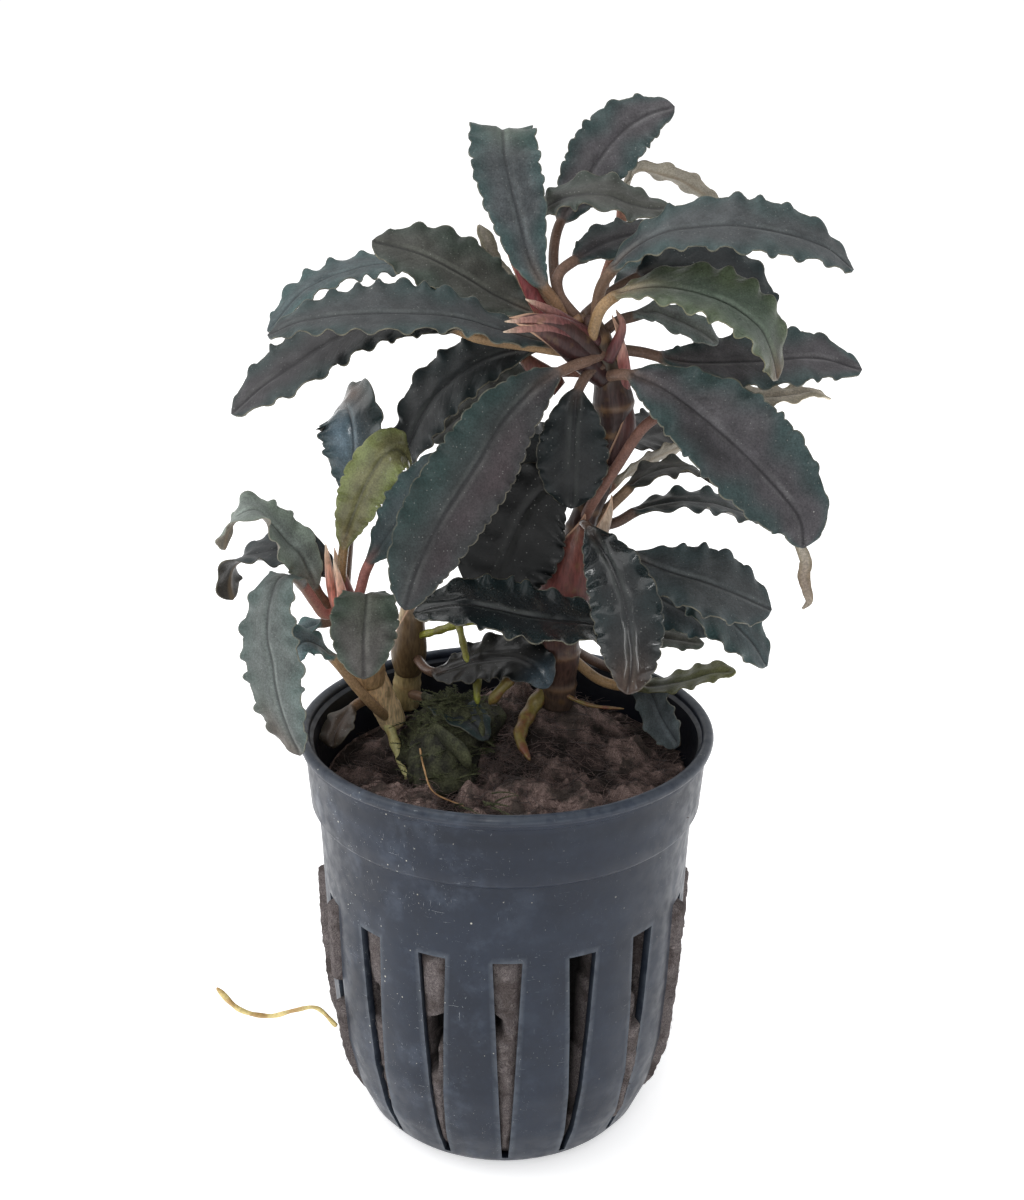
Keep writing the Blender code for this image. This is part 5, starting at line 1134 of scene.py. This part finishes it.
def pot_piece():
    """The net pot: rounded lip, plain collar with a step at its foot, and slots through its wall."""
    rim_foot = POT_HEIGHT - LIP_HEIGHT
    slot_rows = np.linspace(SLOT_FOOT, SLOT_HEAD, SLOT_ROWS)
    body_heights, body_radii = zip(*BODY_PROFILE)
    slot_radii = np.interp(slot_rows, body_heights, body_radii)
    outer = [*ROUND_FOOT, *zip(slot_rows, slot_radii), *UPPER_WALL]
    outer += [(rim_foot - 0.35, COLLAR_TOP_RADIUS + 0.05), (rim_foot, RIM_RADIUS - 0.3)]
    outer += [(POT_HEIGHT + LIP_RADIUS * (math.sin(turn) - 1), RIM_RADIUS + LIP_RADIUS * (math.cos(turn) - 1))
              for turn in np.linspace(*LIP_TURNS)]
    inner = [(FLOOR, 4.0), (FLOOR, 10.0), (FLOOR, BODY_PROFILE[0][1] - 0.2)]
    inner += [*zip(slot_rows, slot_radii - WALL), *INNER_WALL, (rim_foot - 0.6, 23.9), (rim_foot + 0.2, 24.1)]
    profile = outer + inner[::-1]
    columns = SLOTS * (SLOT_COLUMNS + RIB_COLUMNS)
    rings = []
    for row, (height, radius) in enumerate(profile):
        angles = pot_angles(height, radius)
        reach = np.full(columns, radius)
        if row < len(outer) and SLOT_FOOT <= height <= 40:
            # Each rib is slightly rounded between its slots
            share = np.concatenate([np.zeros(SLOT_COLUMNS), np.linspace(0, 1, RIB_COLUMNS + 1)[:-1]])
            share = np.tile(share, SLOTS)
            reach += RIB_ROUND * np.sin(np.pi * share) * smooth(40 - height, 0, 8)
        rings.append(around(reach[:, None], angles[:, None], height).reshape(-1, 3))
    points = np.concatenate(rings)
    faces = grid_faces(len(profile), columns, around=True).reshape(len(profile) - 1, columns, 4)
    first_out = len(ROUND_FOOT)
    last_out = first_out + SLOT_ROWS - 1
    first_in = len(profile) - 3 - SLOT_ROWS
    open_column = np.tile(np.arange(SLOT_COLUMNS + RIB_COLUMNS) < SLOT_COLUMNS, SLOTS)
    keep = np.ones(faces.shape[:2], bool)
    keep[first_out:last_out, open_column] = False
    keep[first_in:first_in + SLOT_ROWS - 1, open_column] = False
    walls = []
    for slot in range(SLOTS):
        left = slot * (SLOT_COLUMNS + RIB_COLUMNS)
        right = left + SLOT_COLUMNS
        for k in range(SLOT_ROWS - 1):
            out_low, out_high = (first_out + k) * columns, (first_out + k + 1) * columns
            in_low = (first_in + SLOT_ROWS - 1 - k) * columns
            in_high = in_low - columns
            walls.append((out_high + left, out_low + left, in_low + left, in_high + left))
            walls.append((out_low + right, out_high + right, in_high + right, in_low + right))
        for column in range(left, right):
            foot_out, foot_in = first_out * columns, (first_in + SLOT_ROWS - 1) * columns
            head_out, head_in = last_out * columns, first_in * columns
            walls.append((foot_out + column, foot_out + column + 1, foot_in + column + 1, foot_in + column))
            walls.append((head_out + column + 1, head_out + column, head_in + column, head_in + column + 1))
    centres = np.array([(0, 0, profile[0][0]), (0, 0, profile[-1][0])])
    caps = end_caps(len(points), columns)
    # The edge values mark the slot and rim corners that are painted paler: partly worn plastic, partly a
    # painted highlight
    edges = np.zeros((len(profile), columns))
    border = np.tile(np.isin(np.arange(SLOT_COLUMNS + RIB_COLUMNS), (0, SLOT_COLUMNS)), SLOTS)
    edges[first_out:last_out + 1, border] = 1.0
    edges[last_out] = np.maximum(edges[last_out], open_column)
    edges[len(outer) - 12:len(outer) - 4] = 0.5
    # inside marks the inner wall, which is darkened as painted shade
    inside = np.repeat(np.arange(len(profile)) >= len(outer), columns).astype(float)
    numbers = {"edge": np.concatenate([edges.ravel(), (0, 0)]), "inside": np.concatenate([inside, (0, 1)])}
    piece = add_piece("net_pot_shell", np.concatenate([points, centres]),
                      [faces[keep], np.array(walls), caps], pot_material(), "net_pot", numbers)
    piece.data.set_sharp_from_angle(angle=math.radians(35))
    return piece


def wool_height(x, y):
    """Height of the rock wool's top: a mound under the main stem, and a dip at the back left."""
    off = np.hypot(x - MOUND_CENTRE[0], y - MOUND_CENTRE[1]) / MOUND_SPREAD
    back = np.hypot(x - RIDGE_CENTRE[0], y - RIDGE_CENTRE[1]) / RIDGE_SPREAD
    rise = MOUND_HEIGHT * np.exp(-off * off) + RIDGE_HEIGHT * np.exp(-back * back)
    return WOOL_TOP + rise - WOOL_DIP * np.maximum(0, (y - x) / (2 * RIM_RADIUS))


def wool_piece():
    """The rock wool: it presses out through the slots, has pulled back from some, and is shaggy on top."""
    random = np.random.default_rng(WOOL_SEED)
    heights = np.concatenate([np.linspace(1.45, 34.8, WOOL_ROWS), np.linspace(35.6, 46.3, 10)])
    body_heights, body_radii = zip(*BODY_PROFILE)
    turns = np.linspace(0, 2 * np.pi, WOOL_COLUMNS, endpoint=False)
    pitch = 2 * np.pi / SLOTS
    slots = np.round((turns - math.radians(SLOT_PHASE)) / pitch).astype(int)
    offset = turns - math.radians(SLOT_PHASE) - slots * pitch
    slots %= SLOTS
    bulges = np.array(WOOL_BULGES)[slots]
    rows, deeps = [], []
    for height in heights:
        wall = float(np.interp(height, body_heights, body_radii))
        inside = wall - WALL - 0.12
        if height < SLOT_FOOT:
            inside = min(inside, BODY_PROFILE[0][1] - 0.6)
        half = slot_half_angle(height, wall)
        across = np.clip(offset / half, -1, 1)
        in_slot = smooth(height, SLOT_FOOT, SLOT_FOOT + 3) * (1 - smooth(height, SLOT_HEAD - 1.2, SLOT_HEAD))
        full = wall - inside + bulges * min(1.0, max(0.0, (height - SLOT_FOOT) / 8.0))
        reach = inside + np.maximum(0, full) * (1 - np.abs(across) ** 6) * in_slot
        deep = np.zeros(WOOL_COLUMNS)
        for slot, low, high, left, right, depth in WOOL_VOIDS:
            edge = 0.7 * math.sin(1.9 * slot + 0.8)
            shift = (offset / half) * edge
            here = (slots == slot) & (np.abs(offset) < half * 1.25)
            risen = height + shift
            inset = smooth(risen, low - 0.5, low + 0.5) * (1 - smooth(risen, high - 0.5, high + 0.5))
            sideways = smooth(across, left - 0.3, left + 0.1) if left > -1 else 1.0
            sideways = sideways * (1 - smooth(across, right - 0.1, right + 0.3) if right < 1 else 1.0)
            deep = np.maximum(deep, here * inset * sideways)
            reach = reach - here * inset * sideways * depth
        rows.append(around(reach[:, None], turns[:, None], height).reshape(-1, 3))
        deeps.append(deep)
    side = np.concatenate(rows)
    deep = np.concatenate(deeps)
    outward = side * (1, 1, 0)
    outward /= np.linalg.norm(outward, axis=1, keepdims=True)
    lumps = 0.14 * ruggedness(side, 1.6, 1) + 0.1 * ruggedness(side, 0.7, 2)
    side = side + outward * np.where(np.linalg.norm(side[:, :2], axis=1) > 18, lumps, 0)[:, None]
    top = []
    for share in np.linspace(1, 0.02, WOOL_TOP_RINGS):
        ring = around(np.full(WOOL_COLUMNS, 22.9 * share)[:, None], turns[:, None], 0).reshape(-1, 3)
        ring[:, 2] = wool_height(ring[:, 0], ring[:, 1])
        top.append(ring)
    top = np.concatenate(top)
    knolls = np.zeros(len(top))
    for _ in range(KNOLLS):
        turn, reach = random.uniform(0, 2 * np.pi), 20 * math.sqrt(random.uniform(0, 1))
        off = np.hypot(top[:, 0] - reach * math.sin(turn), top[:, 1] + reach * math.cos(turn))
        knoll = random.uniform(*KNOLL_HEIGHTS) * np.exp(-(off / random.uniform(*KNOLL_SPREADS)) ** 2.4)
        knolls = np.maximum(knolls, knoll)
    lump = 0.9 * ruggedness(top, 3.4, 4) + 0.6 * ruggedness(top, 1.3, 5) + 0.3 * ruggedness(top, 0.6, 6)
    lump += knolls - 1.2
    top[:, 2] += lump * smooth(23.5 - np.linalg.norm(top[:, :2], axis=1), 0, 2)
    hollows = smooth(-lump, 0.0, 1.3)
    points = np.concatenate([side, top])
    centres = np.array([(0, 0, heights[0]), (0, 0, float(top[-WOOL_COLUMNS:, 2].mean()))])
    groups = [grid_faces(len(heights) + WOOL_TOP_RINGS, WOOL_COLUMNS, around=True),
              end_caps(len(points), WOOL_COLUMNS)]
    # deep says where painted shade goes: the voids behind the slots and the dips between the lumps of the top
    numbers = {"deep": np.concatenate([deep, 0.8 * hollows, (0, 0)]),
               "top": np.concatenate([smooth(side[:, 2], 43, 46), np.ones(len(top)), (0, 1)])}
    parts = [(np.concatenate([points, centres]), groups, numbers, None)]
    parts += [fibre(random, side, deep) for _ in range(SIDE_FIBRES)]
    parts += [top_fibre(random, top) for _ in range(TOP_FIBRES)]
    points, groups, numbers, _ = joined(parts)
    return add_piece("rock_wool_body", points, groups, wool_material(), "rock_wool", numbers)


def thread(path, radius, top):
    """A thin closed thread with three sides."""
    return tube_part(np.asarray(path), np.linspace(radius, radius * 0.4, len(path)), 3, deep=0.0, top=top)


def fibre(random, side, deep):
    """A loose fibre of the wool that lies in one of the slots."""
    inside = deep < 0.2
    reach = np.linalg.norm(side[:, :2], axis=1)
    chosen = side[random.choice(np.nonzero(inside & (reach > 21.2) & (side[:, 2] < 32))[0])]
    out = chosen * (1, 1, 0) / np.linalg.norm(chosen[:2])
    along = np.cross(out, (0, 0, 1))
    tilt = random.uniform(0, np.pi)
    way = along * math.cos(tilt) + np.array((0, 0, 1)) * math.sin(tilt)
    size = random.uniform(0.35, 0.9)
    path = [chosen + way * size * k + out * (0.05 + 0.12 * math.sin(2.2 * (k + 1))) for k in (-0.7, 0.0, 0.7)]
    return thread(path, 0.035, 0.0)


def top_fibre(random, top):
    """A loose fibre or fine root on top of the wool."""
    chosen = top[random.integers(len(top))]
    turn = random.uniform(0, 2 * np.pi)
    way = np.array((math.cos(turn), math.sin(turn), random.uniform(-0.1, 0.5)))
    bow = np.array((-way[1], way[0], random.uniform(0.0, 0.6)))
    size = random.uniform(0.7, 2.4)
    path = [chosen + (0, 0, 0.1) + way * size * k + bow * 0.3 * size * (1 - k * k)
            for k in (-0.9, -0.3, 0.3, 0.9)]
    return thread(path, random.uniform(0.04, 0.09), random.uniform(0.0, 1.0))


def moss_piece():
    """A cushion of moss, with fronds and the blunt lobes of a liverwort on it."""
    random = np.random.default_rng(MOSS_SEED)
    shares = np.linspace(0, 1, 22)
    turns = np.linspace(0, 2 * np.pi, MOSS_COLUMNS, endpoint=False)
    rings = []
    for share in shares:
        spread = math.cos(share * math.pi / 2)
        lump = 1 + 0.14 * np.sin(3 * turns + 3 * share) + 0.1 * np.sin(5 * turns + 6 * share)
        x = MOSS_CENTRE[0] + MOSS_SIZE[0] * spread * lump * np.cos(turns)
        y = MOSS_CENTRE[1] + MOSS_SIZE[1] * spread * lump * np.sin(turns)
        z = wool_height(x, y) - 0.6 + (MOSS_HEIGHT + 0.6) * share**0.8
        rings.append(np.stack([x, y, z], -1))
    points = np.concatenate(rings)
    points += 0.5 * np.stack([ruggedness(points, 1.4, k) for k in (7, 8, 9)], -1)
    count, centres = len(points), [(*MOSS_CENTRE, WOOL_TOP - 0.6), points[-MOSS_COLUMNS:].mean(axis=0)]
    groups = [grid_faces(len(shares), MOSS_COLUMNS, around=True), end_caps(count, MOSS_COLUMNS)]
    parts = [(np.concatenate([points, centres]), groups, {"tip": 0.0}, None)]
    for _ in range(MOSS_FRONDS):
        start = points[random.integers(200, count)]
        turn = random.uniform(0, 2 * np.pi)
        way = np.array((math.cos(turn), math.sin(turn), random.uniform(0.0, 0.8)))
        parts += frond(random, start, way / np.linalg.norm(way), random.uniform(1.5, 3.6))
    for start, way, size in MOSS_TIPS:
        for _ in range(5):
            spread = np.array(way) + random.uniform(-0.35, 0.35, 3)
            parts += frond(random, np.array(start) + random.uniform(-0.8, 0.8, 3),
                           spread / np.linalg.norm(spread), size)
    for spots, radii in LIVERWORT:
        path = spot_path(spots, LOBE_STEP)
        size = np.interp(np.linspace(0, 1, len(path)), np.linspace(0, 1, len(radii)), radii)
        size[-3:] *= (0.9, 0.7, 0.35)
        parts.append(tube_part(path, size, 14, flat=0.55, first=(0.2, -0.6, 0.8), tip=0.12))
    points, groups, numbers, _ = joined(parts)
    return add_piece("moss_cushion", points, groups, moss_material(), "moss_clump", numbers)


def frond(random, start, way, size):
    """A moss shoot: a bent thread with small pointed leaves on both sides."""
    droop = np.array((0, 0, -0.25)) * size
    path = np.array([start + way * size * k + droop * k * k for k in np.linspace(0, 1, 5)])
    parts = [tube_part(path, np.linspace(0.12, 0.05, 5), 4, tip=0.3)]
    side = np.cross(way, (0.1, 0.2, 1.0))
    side /= np.linalg.norm(side)
    for k in range(FROND_LEAVES):
        share = (k + 1) / FROND_LEAVES
        base = start + way * size * share + droop * share * share
        for sign in (-1, 1):
            out = sign * side + 0.7 * way + random.uniform(-0.3, 0.3, 3)
            out *= (0.75 - 0.35 * share) / np.linalg.norm(out)
            wide = way * 0.13
            thick = np.array((0, 0, 0.07))
            leaf = np.array([base - wide, base + wide, base + thick, base + out])
            faces = np.array([(0, 2, 1), (0, 1, 3), (1, 2, 3), (2, 0, 3)])
            if sign < 0:
                faces = faces[:, ::-1]
            parts.append((leaf, [faces], {"tip": np.array((0.3, 0.3, 0.3, 1.0)) * share}, None))
    return parts


def joined_roots(rows):
    """Thin roots along spots, each with its radii, as one part."""
    parts = []
    for spots, radii in rows:
        path = spot_path(spots, SMALL_STEP)
        share = np.linspace(0, 1, len(path))
        size = np.interp(share, np.linspace(0, 1, len(radii)), radii)
        size *= 1 + 0.1 * np.sin(share * len(path) * 0.7)
        size[-3:] *= (0.9, 0.7, 0.4)
        parts.append(tube_part(path, size, 10))
    return joined(parts)


def root_pieces():
    """The thin root that hangs out of a slot, and the roots of the stems."""
    rows = (("hanging_root", "hanging_root_skin", (HANGING_ROOT,), *HANGING_ROOT_COLOURS), *ROOTS)
    for node, name, roots, young, old in rows:
        points, groups, _, _ = joined_roots(roots)
        skin = root_material("root_pale" if node == "hanging_root" else f"{name}_skin", young, old)
        add_piece(name, points, groups, skin, node)


def add_light(name, place, aim, width, height, power):
    """An area light at a place, aimed at a point, in metres and watts."""
    lamp = bpy.data.lights.new(name, "AREA")
    lamp.shape, lamp.size, lamp.size_y, lamp.energy = "RECTANGLE", width, height, power
    made = bpy.data.objects.new(name, lamp)
    made.location = place
    made.rotation_euler = (Vector(aim) - Vector(place)).to_track_quat("-Z", "Y").to_euler()
    bpy.context.collection.objects.link(made)


def studio():
    """A plain white floor, soft light from above and behind, and the camera of the photograph."""
    bpy.ops.mesh.primitive_circle_add(vertices=96, radius=6.0, fill_type="NGON", location=(0, 0, -0.0002))
    floor = bpy.context.object
    floor.name = "floor"
    tree = Tree("white_floor", 0.9, FLOOR_SPECULAR)
    tree.shader["Emission Color"].default_value = (1, 1, 1, 1)
    tree.shader["Emission Strength"].default_value = FLOOR_GLOW
    floor.data.materials.append(tree.finish(srgb(244, 244, 245)))
    world = bpy.data.worlds.new("white_room")
    bpy.context.scene.world = world
    world.use_nodes = True
    nodes, links = world.node_tree.nodes, world.node_tree.links
    background = nodes["Background"]
    background.inputs["Strength"].default_value = WORLD_LIGHT
    seen = nodes.new("ShaderNodeBackground")
    seen.inputs["Color"].default_value = (1, 1, 1, 1)
    seen.inputs["Strength"].default_value = SEEN_LIGHT
    path, mix = nodes.new("ShaderNodeLightPath"), nodes.new("ShaderNodeMixShader")
    coordinates = nodes.new("ShaderNodeTexCoord")
    spread = nodes.new("ShaderNodeVectorMath")
    spread.operation = "DOT_PRODUCT"
    spread.inputs[1].default_value = ROOM_LIGHT_WAY
    ramp = nodes.new("ShaderNodeMapRange")
    for key, value in zip((1, 2, 3, 4), ROOM_LIGHT_RANGE):
        ramp.inputs[key].default_value = value
    links.new(coordinates.outputs["Generated"], spread.inputs[0])
    links.new(spread.outputs["Value"], ramp.inputs[0])
    links.new(ramp.outputs[0], background.inputs["Color"])
    links.new(path.outputs["Is Camera Ray"], mix.inputs[0])
    links.new(background.outputs[0], mix.inputs[1])
    links.new(seen.outputs[0], mix.inputs[2])
    links.new(mix.outputs[0], nodes["World Output"].inputs["Surface"])
    for row in LIGHTS:
        add_light(*row)
    bpy.context.scene.view_settings.view_transform = "Standard"
    camera = bpy.data.cameras.new("camera")
    camera.sensor_fit, camera.sensor_height, camera.lens = "VERTICAL", SENSOR, LENS
    camera.clip_start, camera.clip_end = 0.01, 20
    holder = bpy.data.objects.new("camera", camera)
    holder.matrix_world = Matrix.Translation(VIEW_FROM * MM) @ view_turn(4)
    bpy.context.collection.objects.link(holder)
    bpy.context.scene.camera = holder


studio()
STEM_LINES = [(spot_path(stem_row.spine, 1.0), max(stem_row.radii)) for stem_row in STEMS]
LEAF_SKINS = {key: leaf_material(f"leaf_{key}_skin", look) for key, look in LOOKS.items()}
STEM_SKIN = stem_material()
pot_piece()
wool_piece()
for count, stem_row in enumerate(STEMS):
    stem_piece(stem_row, count)
for count, leaf_row in enumerate(LEAVES):
    leaf_piece(leaf_row, count)
moss_piece()
root_pieces()
